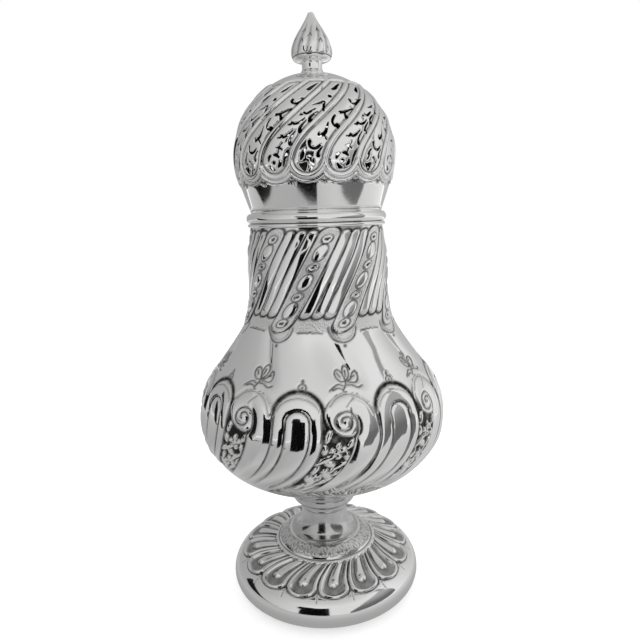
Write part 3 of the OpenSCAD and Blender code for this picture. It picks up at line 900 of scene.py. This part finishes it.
def valley_share(s):
    return within(valley_from, valley_to, s)


def valleys(azimuth, s, r):
    """Depth of the creases between the shoulder's panels, steep on their right and gentle on their left."""
    lean = (valley_top[0] - valley_foot[0]) / (valley_top[1] - valley_foot[1])
    line = valley_foot[0] + (s - valley_foot[1]) * lean
    across = wrap(azimuth - line, BODY_PERIOD) * r * DEG / np.hypot(1, lean * r * DEG)
    reach = np.where(across > 0, valley_steep, valley_gentle)
    away = np.hypot(across, valley_round) - valley_round
    return valley_deep * valley_share(s) * np.clip(1 - away / reach, 0, None) ** 2


leg_fade = (30, 44)
panel_fade = (32, 37)
under_fade = (38, 47)
crown_fade = (54, 58)
over_arch_fade = (58, 60)
over_arch_reach = (0.6, 1.8)
bowl_line_half = 0.5
lobe_top_ease = 0.1
lobe_edge_rise = 0.24
lobe_edge_wide = 0.9
lobe_roll_rise = 0.36
lobe_roll_under = 0.5
lobe_roll_wide = 2.8
lobe_line_depth = 0.22
crown_line = 0.2
crown_line_half = 0.7
scroll_leg_from = (12, 13.4)
scroll_leg_rise = 0.88
scroll_leg_under = 0.3
scroll_leg_wide = 2.7
scroll_leg_line = 0.5
scroll_leg_curve = 1.15
fine_line = 0.14
fine_line_half = 0.35
fine_dark = 0.6
fine_dark_half = 0.38
blob_round = 0.8
panel_rise = 0.08
panel_depth = 0.46
panel_wall = 0.7
panel_dark_to = 0.4
scroll_bead_rise = 0.2
scroll_bead_wide = 1.0
mark_depth = 0.22
mark_dark = 0.9
spray_half = 0.5
arch_ring_r = 1.2
arch_ring_half = 0.46
arch_ring_pit = 0.8
arch_dot_r = 0.95
bowl_edge = 0.36
bowl_edge_wide = 1.2
bowl_edge_curve = 1.5


def lobe_form(unit, s, to_line, to_edge, arch_crown):
    """Height of the lobes between their lines: rolled on arches and tongues, steeper on the scrolls' legs."""
    under = 1 - smooth(*under_fade, s)
    rolled = lobe_edge_rise * pillow(to_edge, lobe_edge_wide)
    rolled = rolled + (lobe_roll_rise + lobe_roll_under * under) * pillow(to_edge, lobe_roll_wide)
    rolled = rolled - lobe_line_depth - crown_line * arch_crown * dent(to_line, crown_line_half)
    side = np.clip(1 - to_line / scroll_leg_wide, 0, None) ** scroll_leg_curve
    steep = (scroll_leg_rise + scroll_leg_under * under) * (1 - side) - scroll_leg_line
    scroll_leg = smooth(*scroll_leg_from, unit)
    return rolled * (1 - scroll_leg) + steep * scroll_leg


def bowl_relief(azimuth, s, r):
    straight = azimuth - body_sweep(s)
    unit = (straight - arch_left) % BODY_PERIOD + arch_left
    near = azimuth - straight + unit
    to_line, to_fine, to_arch, to_spray = (
        to_lines(near, s, r, lines, BODY_PERIOD)
        for lines in (bowl_lines, bowl_fine_lines, arch_lines, spray_lines))
    legs = smooth(*leg_fade, s)
    panels = smooth(*panel_fade, s)
    in_arch = unit < arch_right
    top = np.where(in_arch, rounded_top(unit, *arch_form), np.interp(unit, *scroll_over.T))
    in_lobes = smooth(-lobe_top_ease, lobe_top_ease, top - s)
    above = 1 - in_lobes
    in_panel = (unit > arch_right) & (unit < panel_right) & (s < np.interp(unit, *scroll_under.T))
    in_tongue = (np.abs(unit - tongue_middle) < tongue_across) & (s < rounded_top(unit, *tongue_form))
    arch_crown = in_arch * ~in_tongue * smooth(*crown_fade, s)
    to_edge = to_line + arch_crown * (to_arch - to_line)
    form = lobe_form(unit, s, to_line, to_edge, arch_crown)
    form = legs * (form - fine_line * dent(to_fine, fine_line_half))
    raised = pillow(blob_rise(unit, s, r, panel_blobs), blob_round)
    ground = panel_rise + panel_depth * pillow(to_line, panel_wall)
    panel = panels * (panel_rise * raised - ground * (1 - raised))
    heart = scroll_bead_rise * dent(spot(near, s, r, scroll_bead), scroll_bead_wide)
    ring = spot(near, s, r, arch_ring)
    dot = spot(near, s, r, arch_dot)
    marks = np.maximum.reduce([dent(to_spray, spray_half), dent(ring - arch_ring_r, arch_ring_half),
                               dent(ring, arch_ring_pit), dent(dot, arch_dot_r)])
    edge_roll = bowl_edge * np.clip(1 - to_line / bowl_edge_wide, 0, None) ** bowl_edge_curve
    height = in_lobes * np.where(in_panel, panel, form) + heart
    height = height - above * (mark_depth * marks + edge_roll) - valleys(azimuth, s, r)
    # The last share below is a painted reflection: a dark band on the shoulder just over each arch's outline.
    recess = np.maximum.reduce([
        legs * in_lobes * dent(to_line, bowl_line_half),
        legs * in_lobes * fine_dark * dent(to_fine, fine_dark_half),
        panels * in_panel * (1 - smooth(0, panel_dark_to, raised)),
        above * mark_dark * marks,
        above * smooth(*over_arch_fade, s) * (1 - smooth(*over_arch_reach, to_arch))])
    return height, recess, np.zeros_like(s)


bowl_stop = 75.5
bowl_rows = spaced((-collar_r, 2.5), (0, 1.0), (26, 0.42), (bowl_stop, 0.42))
BODY_COLUMNS = 80
bowl = chased_ring("body_bowl", body_section, bowl_rows, BODY_COLUMNS, BODY_PERIOD, body_sweep, bowl_relief)
finished(bowl, "body", "caster", chased_silver)

strip_at = -10
strip_half = 3.3
strip_ends = (2.4, 36.0)
strip_rise = 0.3
strip_edge = 0.6
strip_line_half = 0.42
strip_tip_from = 33.4
strip_tip_half = 0.75
strip_matted_from = (0.3, 0.8)
strip_rings = (5.8, 14.3, 23.4, 32.0)
strip_ring_r = 1.1
strip_ring_half = 0.5
strip_ring_rise = 0.22
strip_ring_pit = 0.2
strip_ring_pit_r = 0.7
strip_ring_dark = (0.4, 0.7)
strip_ring_plain = (1.5, 1.8)
strip_ovals = (10.0, 18.8, 27.8)
strip_oval_half = (1.75, 2.85)
strip_oval_rise = 0.36
strip_oval_round = 0.7
strip_oval_plain = (1.0, 1.1)
strip_oval_line = 1.05
strip_oval_mean = 2
flute_half = 1.66
flute_ends = (7.3, 34.9)
flute_rise = 0.26
flute_crown = 0.08
flute_tips = (8.6, 33.6)
flute_tip_half = 0.7
tip_out = 0.2
FLUTES = (13.5, 22.5, 31.5)
NECK_SLOPE = 28
neck_slant = math.cos(NECK_SLOPE * DEG)
neck_line_half = 0.36
neck_line_dark = 0.9
neck_middle = 18.5
halo_s = 4.4
halo_r = 4.6
halo_fade = (0.9, -0.1)
halo_half = 0.42
halo_inner_r = 3.7
halo_inner_half = 0.28
halo_inner_share = 0.4
halo_matted_r = 4.4
halo_dot_s = -1.2
halo_dot_r = 0.95
engraved_depth = 0.2
matted_depth = 0.08
matted_from = (3.1, 3.5)
matted_to = (9, 10)
matted_off_strip = (0.1, 0.4)
scallop_at = -10
scallops = smooth_line([(-18.5, 2.9), (-14.5, 3.2), (-11.5, 3.1), (-10, 3.4), (-8.5, 3.1), (-5.5, 3.2),
                        (-1.5, 2.9)])


def past_ends(up, ends, half):
    """How far a place lies past the straight part of a strip or flute with round ends."""
    low, high = ends
    return (np.clip(low + half - up, 0, None) + np.clip(up - high + half, 0, None)) / neck_slant


def neck_relief(azimuth, s, r):
    up = s - neck_from
    strip_turn = wrap(azimuth - neck_lean * (up - neck_middle) - strip_at, BODY_PERIOD)
    x = strip_turn * r * DEG * neck_slant
    strip = strip_half - np.hypot(x, past_ends(up, strip_ends, strip_half))
    height = strip_rise * pillow(strip, strip_edge) * (strip > 0)
    tip = (up > strip_tip_from) * dent(strip + tip_out, strip_tip_half)
    recess = np.maximum(dent(strip, strip_line_half), tip)
    plain_strip = np.ones_like(s)
    for ring_up in strip_rings:
        away = np.hypot(x, (up - ring_up) / neck_slant)
        height = height + strip_ring_rise * dent(away - strip_ring_r, strip_ring_half)
        height = height - strip_ring_pit * dent(away, strip_ring_pit_r)
        ring_edge = neck_line_dark * dent(away - strip_ring_r - strip_ring_half, neck_line_half)
        recess = np.maximum.reduce([recess, 1 - smooth(*strip_ring_dark, away), ring_edge])
        plain_strip = plain_strip * smooth(*strip_ring_plain, away)
    for oval_up in strip_ovals:
        away = np.hypot(x / strip_oval_half[0], (up - oval_up) / neck_slant / strip_oval_half[1])
        height = height + strip_oval_rise * pillow(1 - away, strip_oval_round) * (away < 1)
        oval_edge = neck_line_dark * dent((away - strip_oval_line) * strip_oval_mean, neck_line_half)
        recess = np.maximum(recess, oval_edge)
        plain_strip = plain_strip * smooth(*strip_oval_plain, away)
    past_flute = past_ends(up, flute_ends, flute_half)
    at_tips = (up < flute_tips[0]) | (up > flute_tips[1])
    for flute_at in FLUTES:
        across = wrap(strip_turn - flute_at, BODY_PERIOD) * r * DEG * neck_slant
        flute = np.hypot(across, past_flute) / flute_half
        crown = flute_crown * np.clip(1 - flute ** 2, 0, None)
        height = height + flute_rise * np.clip(1 - flute ** 4, 0, None) + crown
        past = (flute - 1) * flute_half
        flute_line = np.where(at_tips, dent(past - tip_out, flute_tip_half), dent(past, neck_line_half))
        recess = np.maximum(recess, flute_line)
    halo_azimuth = azimuth - strip_at - neck_lean * (halo_s - neck_middle)
    halo_x = wrap(halo_azimuth, BODY_PERIOD) * r * DEG
    halo = np.hypot(halo_x, up - halo_s)
    low = smooth(*halo_fade, up - halo_s) * (strip < 0)
    halo_lines = low * np.maximum(dent(halo - halo_r, halo_half),
                                  halo_inner_share * dent(halo - halo_inner_r, halo_inner_half))
    scallop_turn = wrap(halo_azimuth - BODY_PERIOD / 2, BODY_PERIOD) + scallop_at
    scallop = dent(to_lines(scallop_turn, up, r, [scallops], BODY_PERIOD), neck_line_half) * (halo > halo_r)
    halo_dot = dent(np.hypot(halo_x, up - halo_dot_s), halo_dot_r)
    engraved = np.maximum.reduce([halo_lines, scallop, halo_dot])
    ground = np.where(halo < halo_matted_r, 1, within(matted_from, matted_to, up))
    ground = ground * smooth(*matted_off_strip, -strip) * (1 - smooth(*matted_to, up))
    matted = np.maximum(ground, smooth(*strip_matted_from, strip) * plain_strip)
    height = height - engraved_depth * engraved - matted_depth * matted - valleys(azimuth, s, r)
    return height, np.maximum(recess, neck_line_dark * engraved), matted


neck_rows = spaced((bowl_stop, 0.5), (neck_from - 2, 0.36), (neck_from + 35, 0.36), (body_end, 1))
neck = chased_ring("body_neck", body_section, neck_rows, BODY_COLUMNS, BODY_PERIOD, body_sweep, neck_relief)
finished(neck, "body", "caster", chased_silver)
inner_depth = (sheet + valley_deep * valley_share(body_section.length))[:, None]
inner_body = turned("body_inside", np.concatenate([
    [(mouth_r, mouth_z)], body_section.inside(inner_depth)[:-2:6], [(0, collar_top + sheet)]]),
    closed=False, steps=128)
finished(inner_body, "body", "caster", unpolished_silver)

# Mouth wire: a thin silver wire with a round edge, soldered on the mouth.
# It stiffens the thin sheet and carries the cover, which turns on a hairline of room.
bore_r = 21.36
wire_h = 1.29
wire_w = 2.0
rest_gap = 0.01
bead_z = mouth_z + wire_h + rest_gap
mouth_wire = turned("mouth_wire_reed", np.concatenate([
    [(bore_r, mouth_z)],
    arc((bore_r + wire_w - wire_h / 2, mouth_z + wire_h / 2), wire_h / 2, -90, 90, 16),
    [(bore_r, mouth_z + wire_h)]]))
finished(mouth_wire, "mouth_wire", "caster", polished_silver)

# Cover sleeve: a thin tube of silver, soldered inside the cover.
# It slides into the mouth with a close fit, and holds the cover on.
sleeve_r = 21.3
sleeve_wall = 0.8
sleeve_depth = 12
sleeve_ease = 0.3
sleeve_low = mouth_z - sleeve_depth
sleeve_high = 138.6
sleeve = turned("cover_sleeve_tube", np.concatenate([
    arc((sleeve_r - sleeve_ease, sleeve_low + sleeve_ease), sleeve_ease, -90, 0, 4),
    [(sleeve_r, sleeve_high), (sleeve_r - sleeve_wall, sleeve_high), (sleeve_r - sleeve_wall, sleeve_low)]]))
finished(sleeve, "cover_sleeve", "cover_carrier", polished_silver)

# Cover bead: a half-round silver wire that edges the cover.
# It is soldered under the dome, with a short slope that runs in to it.
bead_r = 23.76
bead_side = 1.7
dome_base = 137.8
dome_edge_r = 22.3
bead = turned("cover_bead_wire", np.concatenate([
    [(bore_r, bead_z)],
    arc((bead_r - bead_side, bead_z + bead_side), bead_side, -90, 90, 24),
    bezier([(bead_r - bead_side, bead_z + 2 * bead_side), (22.0, 137.2), (22.2, 137.3),
            (dome_edge_r, dome_base)], 8),
    [(bore_r, dome_base)]]))
finished(bead, "cover_bead", "cover", polished_silver)

# Pierced dome: raised from silver sheet, chased in sixteen leaning lobes and sawn through between the lines.
# Lobes with a rosette at the foot alternate with lobes of plain scrolls; the piercing lets the sugar out.
# The dome is soldered on the cover's bead.
dome_r = 26.6
dome_slope = 18.6
dome_z = 154.93
crown_r = 4.2
crown_lat = math.degrees(math.acos(crown_r / dome_r))
stud_hole_r = 1.25
dome_side = arc((0, dome_z), dome_r, -dome_slope, crown_lat, 300)
dome_section = Section([np.array([(dome_edge_r, dome_base)]), dome_side,
                        np.array([(stud_hole_r, dome_side[-1][1])])])
sphere_from = float(dome_section.length[1])
crown_s = float(dome_section.length[-2])
dome_end = float(dome_section.length[-1])

DOME_PERIOD = 45
LOBE_PITCH = 22.5
scroll_lobe_at = -5.0
rosette_lobe_at = -27.5
valley_at = rosette_lobe_at - LOBE_PITCH / 2
lobe_foot_s = 15.4
lobe_foot_fade = (16.4, 13.9)
panel_r = 4.2
lobe_top_s = 41.6
lobe_top_from = 34
lobe_top_round = 0.09
twist = 1.09
twist_from = -16
twist_over = 35
dome_lobes_from = (7.4, 8.2)
dome_lobes_to = (42.6, 44.2)
dome_panel_rise = 0.26
dome_panel_round = 3
ridge_in = 1.0
ridge_half = 0.95
ridge_rise = 0.5
groove_half = 0.36
groove_depth = 0.3
beaded_in = 1.95
beaded_half = 0.4
beaded_depth = 0.15
beaded_dark = 0.8
beads_round = 30
outer_ridge_in = 2.6
outer_ridge_half = 0.42
outer_ridge_rise = 0.4
outer_groove_in = 3.05
outer_groove_half = 0.28
outer_groove_depth = 0.22
outer_groove_dark = 0.9
palmette_s = 9.2
palmette_petals = (-70, -35, 0, 35, 70)
palmette_reach = (0.35, 1.35)
palmette_half = 0.34
top_dot_s = 43.6
top_dot_r = 0.7
dome_mark_depth = 0.2


def latitude(s):
    return -dome_slope + (s - sphere_from) / dome_r / DEG


def dome_turn(s):
    """Turn of the lobes round the dome: none at their feet, then steadily more as they climb."""
    lat = latitude(s)
    t = np.clip((lat - twist_from) / twist_over, 0, 1)
    eased = twist * twist_over * (t ** 3 - t ** 4 / 2)
    return eased + twist * np.clip(lat - twist_from - twist_over, 0, None)


def dome_radius(s):
    return np.interp(s, dome_section.length, dome_section.points[:, 0])


def dome_relief(azimuth, s, r):
    straight = azimuth - dome_turn(s) - scroll_lobe_at
    lean = twist * smooth(twist_from, twist_from + twist_over, latitude(s))
    slant = np.cos(np.arctan(lean * np.cos(latitude(s) * DEG)))
    x = np.abs(wrap(straight, LOBE_PITCH)) * r * DEG * slant
    half = LOBE_PITCH / 2 * r * DEG * slant
    below = np.clip(lobe_foot_s - s, 0, None)
    edge = np.where(s > lobe_foot_s, ridge_in - (half - x), np.hypot(x, below) - panel_r)
    edge_top = s - lobe_top_s + lobe_top_round * x ** 2
    edge = np.where(s > lobe_top_from, np.maximum(edge, edge_top), edge)
    present = within(dome_lobes_from, dome_lobes_to, s)
    groove = dent(edge, groove_half)
    low = smooth(*lobe_foot_fade, s)
    beads = 0.5 + 0.5 * np.cos(np.arctan2(x, lobe_foot_s - s) * 2 * beads_round)
    beaded = low * dent(edge - beaded_in, beaded_half) * beads
    outer_ridge = low * dent(edge - outer_ridge_in, outer_ridge_half)
    outer_groove = low * dent(edge - outer_groove_in, outer_groove_half)
    raised = (dome_panel_rise * pillow(-edge, dome_panel_round)
              + ridge_rise * dent(edge - ridge_in, ridge_half)
              + outer_ridge_rise * outer_ridge)
    sunk = groove_depth * groove + outer_groove_depth * outer_groove + beaded_depth * beaded
    recess = present * np.maximum.reduce([groove, beaded_dark * beaded, outer_groove_dark * outer_groove])
    cusp = wrap(azimuth - scroll_lobe_at - LOBE_PITCH / 2, LOBE_PITCH) * r * DEG
    over = s - palmette_s
    engraved = dent(np.hypot(wrap(straight - LOBE_PITCH / 2, LOBE_PITCH) * r * DEG, s - top_dot_s), top_dot_r)
    for petal in palmette_petals:
        tip = np.array([math.sin(petal * DEG), -math.cos(petal * DEG)])
        along = np.clip(cusp * tip[0] + over * tip[1], *palmette_reach)
        to_petal = np.hypot(cusp - along * tip[0], over - along * tip[1])
        engraved = np.maximum(engraved, dent(to_petal, palmette_half))
    return present * (raised - sunk) - dome_mark_depth * engraved, np.maximum(recess, engraved)


leaf_holes = [
    [(-10.5, 14), (-9.4, 12.8), (-7.5, 11.7), (-5.9, 11.6), (-5.2, 12.3), (-4.4, 13.5), (-4.8, 14.2),
     (-6.5, 14.2), (-8.5, 13.9)],
    [(-4.4, 11.5), (-2.5, 11.7), (-0.9, 12.7), (0.1, 14), (-0.1, 14.9), (-0.8, 15.3), (-1.3, 14.7),
     (-1.6, 13.8), (-2.5, 12.8), (-3.7, 12.1)]]
scroll_strokes = [
    [(-4, 15.5, .4), (-3.2, 15.7, .5), (-2.5, 15.2, .5), (-2.2, 14.4, .4), (-2.6, 13.6, .3)],
    [(-4.8, 18.1, .35), (-6.5, 17.4, .6), (-7.8, 15.9, .9), (-8.7, 14.9, .4)],
    [(5.2, 18.3, .3), (3.8, 17.6, .45), (2.4, 16.6, .6), (2.4, 15.8, .9)],
    [(-2.8, 19.9, .9), (-3, 19, .65), (-2, 18.2, .55), (.5, 17.9, .6), (2.8, 18.4, .65), (4.3, 19.1, .35)],
    [(9.5, 25.2, .35), (8.5, 23.8, .55), (7.2, 22.3, .75), (5, 21.7, .8), (3.5, 21.5, .9), (3.2, 22.3, .4)],
    [(6, 21.8, .5), (7, 21, .45), (8, 20.3, .3)],
    [(14.6, 27.5, .5), (13, 26.5, .6), (12.3, 25.4, .6), (13.5, 24.4, .6), (15.6, 24.4, 1.1)],
    [(18.5, 28.5, .8), (21, 28.6, .65), (24, 29, .55), (29.5, 30.1, .3)],
    [(22, 28.4, .6), (22.3, 27.6, .7), (22.8, 27.1, .95)],
    [(29.3, 33.2, .9), (29.5, 32.2, .6), (32, 31.8, .55), (35, 32.3, .55), (38, 33.2, .6), (41, 34, .3)],
    [(38.3, 33.3, .4), (36.8, 33.6, .4), (35.4, 33.6, .3)],
    [(41.5, 37.2, 1), (44, 38.2, .85), (48, 39.6, .55), (50.4, 40.5, .3)]]
rosette_strokes = [
    [(-31, 15.2, .6), (-30.2, 16.1, .8), (-29, 16.5, .5)],
    [(-26.8, 16.6, .45), (-24.9, 16.6, .8), (-23.2, 15.9, .5)],
    [(-22.6, 14.8, .5), (-22.8, 13.9, .85), (-24.2, 13.2, .5)],
    [(-30.4, 13.5, .5), (-29, 12.7, .85), (-27.2, 12.4, .5)],
    [(-27.15, 14.45, .85), (-26.85, 14.45, .85)],
    [(-23.6, 17.1, .4), (-23, 18, .45), (-22.6, 18.7, .4)],
    [(-24.6, 18.6, .3), (-22.5, 18.8, .45), (-20.4, 19.9, .35)],
    [(-22.4, 18.6, .35), (-20.8, 18, .45)],
    [(-20.6, 13.2, .3), (-19.8, 14.6, .6), (-18.8, 16, .7), (-17.6, 17.2, .6), (-16.6, 17.9, .3)],
    [(-11.8, 23, .3), (-14, 21.8, .45), (-15.5, 20.5, .55), (-15.4, 19.5, .9)],
    [(-24, 21.4, .3), (-22, 21.4, .45), (-20.8, 21.8, .8), (-19.5, 21.4, .55), (-17, 21.9, .55),
     (-13.4, 23.3, .3)],
    [(-4.8, 26, .3), (-7, 25, .45), (-8.8, 23.9, .65), (-8.9, 22.9, .95)],
    [(-17, 25, .3), (-15, 25.1, .6), (-14, 25.5, .7), (-12, 25.1, .55), (-9, 25.6, .55), (-5.8, 26.7, .3)],
    [(3.1, 28.7, .3), (0, 27.8, .5), (-2.2, 26.9, .65), (-2.3, 26, .95)],
    [(-8.8, 27.9, .5), (-7.3, 27.9, .45)],
    [(-6.2, 28.5, .6), (-4.5, 28.1, .55), (-1.5, 28.8, .55), (1.7, 29.7, .3)],
    [(-.2, 31, .3), (3, 31.3, .45), (6, 31.7, .6), (8.1, 32.1, .7), (7.7, 31, .55), (7.2, 29.6, .45),
     (7.2, 28.6, .3)],
    [(13.1, 34.2, .95), (13.5, 34.2, .95)],
    [(17.6, 37.2, .9), (20, 37.8, .9), (23, 39, .65), (27.6, 40.6, .3)]]
saw_least = 0.22
saw_share = 0.72
clear_share = 0.45


def stroke_outline(points):
    """Closed outline of a saw cut that follows a line and changes its width."""
    line = smooth_line(points, 4)
    scale = dome_radius(line[:, 1].mean()) * DEG
    middle = line[:, :2] * [scale, 1]
    heading = np.gradient(middle, axis=0)
    heading /= np.linalg.norm(heading, axis=1, keepdims=True)
    side = np.stack([-heading[:, 1], heading[:, 0]], axis=1)
    width = np.maximum(line[:, 2:], saw_least) * saw_share
    turns = np.array([[45], [0], [-45]]) * DEG
    ends = [middle[i] + width[i] * way * (np.cos(turns) * heading[i] + np.sin(turns) * side[i])
            for i, way in ((-1, 1), (0, -1))]
    around = np.concatenate([middle + width * side, ends[0], (middle - width * side)[::-1], ends[1]])
    return (around / [scale, 1])[::-1]


holes = [smooth_line([*p, p[0]], 3)[:-1] for p in leaf_holes]
holes += [stroke_outline(p) for p in scroll_strokes + rosette_strokes]
climb_steps = np.diff(dome_section.length) / ((dome_section.points[1:, 0] + dome_section.points[:-1, 0]) / 2)
dome_climb = np.r_[0, np.cumsum(climb_steps)]


def pierced_skin(rows, cell):
    """Flat triangles of one repeat of the dome, on a map that keeps angles, with the sawn holes left out."""
    flat = []
    left = []
    right = []
    ends = []
    for i, s in enumerate(rows):
        across = max(6, round(DOME_PERIOD * DEG * dome_radius(s) / cell))
        azimuths = valley_at + dome_turn(s) + DOME_PERIOD * np.arange(across + 1) / across
        first = len(flat)
        flat += [(a, s) for a in azimuths]
        left.append(first)
        right.append(first + across)
        if i in (0, len(rows) - 1):
            ends.append(list(range(first, first + across + 1)))
    border = ends[0] + right[1:-1] + ends[1][::-1] + left[1:-1][::-1]
    flat = np.array(flat)
    on_border = np.zeros(len(flat), bool)
    on_border[border] = True
    outlines = [np.vstack([hole, hole[:1]]) for hole in holes]
    away = to_lines(flat[:, 0], flat[:, 1], dome_radius(flat[:, 1]), outlines, 360)
    kept = on_border | (away > clear_share * cell)
    number = np.cumsum(kept) - 1
    faces = [[int(number[i]) for i in border]]
    flat = flat[kept].tolist()
    for hole in holes:
        faces.append(list(range(len(flat), len(flat) + len(hole))))
        flat += hole.tolist()
    flat = np.array(flat)
    mapped = np.stack([flat[:, 0] * DEG, np.interp(flat[:, 1], dome_section.length, dome_climb)], axis=1)
    made = delaunay_2d_cdt([Vector(p) for p in mapped], [], faces, 0, 1e-7)
    solid = [tuple(face) for face, origin in zip(made[2], made[5]) if list(origin) == [0]]
    mapped = np.array([tuple(p) for p in made[0]])
    return mapped[:, 0] / DEG, np.interp(mapped[:, 1], dome_climb, dome_section.length), solid


def on_dome(azimuth, s, height):
    r, z, normal_r, normal_z = dome_section.at(s)
    r = r + height * normal_r
    return np.stack([r * np.sin(azimuth * DEG), -r * np.cos(azimuth * DEG), z + height * normal_z], axis=1)


skin_cell = 0.34
inside_cell = 1.4
inside_dark = 0.95
seam_turn = 0.02
outer_azimuth, outer_s, outer_faces = pierced_skin(
    spaced((0, 1.2), (6.6, skin_cell), (44.2, 0.8), (crown_s, 0.9), (dome_end, 1)), skin_cell)
inner_azimuth, inner_s, inner_triangles = pierced_skin(
    spaced((0, 1.6), (crown_s, 1.2), (dome_end, 1)), inside_cell)
outer_height, outer_recess = dome_relief(outer_azimuth, outer_s, dome_radius(outer_s))
outer_skin = on_dome(outer_azimuth, outer_s, outer_height)
behind_outer = on_dome(outer_azimuth, outer_s, np.full(len(outer_s), -sheet))
inner_skin = on_dome(inner_azimuth, inner_s, np.full(len(inner_s), -sheet))
edges = {(a, b) for face in outer_faces for a, b in zip(face, face[1:] + face[:1])}
outer_count = len(outer_s)
seam_away = np.abs(wrap(outer_azimuth - dome_turn(outer_s) - valley_at, DOME_PERIOD))
walls = [(b, a, a + outer_count, b + outer_count)
         for a, b in edges if (b, a) not in edges and seam_away[a] > seam_turn]
inner_faces = [tuple(2 * outer_count + i for i in face[::-1]) for face in inner_triangles]
# Painted shade: the dome's inside and the walls of its sawn holes are darkened almost to black, as the shade
# within the cover.
inside_painted_shade = np.full(outer_count + len(inner_s), inside_dark)
dome = mesh_piece("dome_pierced", np.concatenate([outer_skin, behind_outer, inner_skin]),
                  outer_faces + walls + inner_faces, recess=np.concatenate([outer_recess, inside_painted_shade]))
dome = repeated(dome, round(360 / DOME_PERIOD), chased_silver)
finished(dome, "pierced_dome", "cover", chased_silver)

# Finial: a cast silver bud of long overlapping leaves on a waisted spool.
# A stud under it passes through the crown of the dome and takes the washer and the nut.
crown_z = float(dome_side[-1][1])
finial_h = 18.79
finial_top = crown_z + finial_h
spool_r = 3.3
spool_z = crown_z + 2
bud_foot = crown_z + 4
bud_foot_r = 3.9
bud_wide = bud_foot + 2.8
bud_r = 6.7
tip_r = 1.0
finial_section = Section([
    bezier([(4.1, crown_z), (3.9, crown_z + 0.9), (spool_r, crown_z + 1.0), (spool_r, spool_z)], 20),
    bezier([(spool_r, spool_z), (spool_r, crown_z + 3.4), (3.2, bud_foot - 0.1), (bud_foot_r, bud_foot)], 20),
    bezier([(bud_foot_r, bud_foot), (bud_r - 0.2, bud_foot + 0.1), (bud_r, bud_wide - 1.4),
            (bud_r, bud_wide)], 30),
    bezier([(bud_r, bud_wide), (bud_r, bud_wide + 4), (2.1, finial_top - 3.4),
            (tip_r, finial_top - 0.2)], 60),
    np.array([(tip_r - 0.15, finial_top), (0, finial_top)])])
LEAF_PERIOD = 60
bud_lean = 1.6
bud_from = 7.2
bud_rise = (7.7, 8.8)
bud_fade = (16.5, 19)
bud_flute = 30
bud_flute_depth = 0.25
bud_line_depth = 0.2
bud_flute_dark = 0.45
bud_pit_s = 8.2
bud_pit_r = 0.6
bud_line_s = 7.4
bud_line_half = 0.3
leaf_tips = [(15, 16.5), (22, 12.5), (45, 14.5)]
leaf_tip_slope = 0.4
leaf_tip_fade = (-1.9, -1.2)


def finial_sweep(s):
    return bud_lean * np.clip(s - bud_from, 0, None)


def finial_relief(azimuth, s, r):
    turn = azimuth - finial_sweep(s)
    on_bud = within(bud_rise, bud_fade, s)
    flute = 0.5 - 0.5 * np.cos(turn * DEG * 360 / bud_flute)
    to_flute = wrap(turn - bud_flute / 2, bud_flute) * r * DEG
    pits = dent(np.hypot(to_flute, s - bud_pit_s), bud_pit_r)
    ring_line = dent(s - bud_line_s, bud_line_half)
    recess = np.maximum.reduce([bud_flute_dark * on_bud * flute ** 3, pits, ring_line])
    for at, tip_s in leaf_tips:
        x = np.abs(wrap(turn - at, LEAF_PERIOD)) * r * DEG
        tip = dent(x - leaf_tip_slope * (tip_s - s), bud_line_half)
        tip = tip * smooth(*leaf_tip_fade, s - tip_s) * (s < tip_s)
        recess = np.maximum(recess, tip)
    return -bud_flute_depth * on_bud * flute - bud_line_depth * recess, recess, np.zeros_like(s)


finial_rows = spaced((0, 0.4), (5.6, 0.22), (19.5, 0.25), (float(finial_section.length[-1]), 1))
finial = chased_ring("finial_bud", finial_section, finial_rows, 40, LEAF_PERIOD, finial_sweep, finial_relief)
finished(finial, "finial", "cover", chased_silver)
stud_r = 1.2
stud_ease = 0.2
stud_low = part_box("finial")[0].z / MM
stud_high = crown_z + 0.5
stud = turned("finial_stud", [
    (0, stud_low), (stud_r - stud_ease, stud_low), (stud_r, stud_low + stud_ease), (stud_r, stud_high),
    (0, stud_high)], closed=False, steps=48)
finished(stud, "finial", "cover", polished_silver)

# Washer and nut: plain silver fastenings on the finial's stud, inside the crown.
# Their shapes are right in the CAD model, so they stay, and only get the polished silver.
for fastening in ("finial_washer", "finial_nut"):
    part = bpy.data.objects[fastening]
    part.data.materials.clear()
    part.data.materials.append(polished_silver)
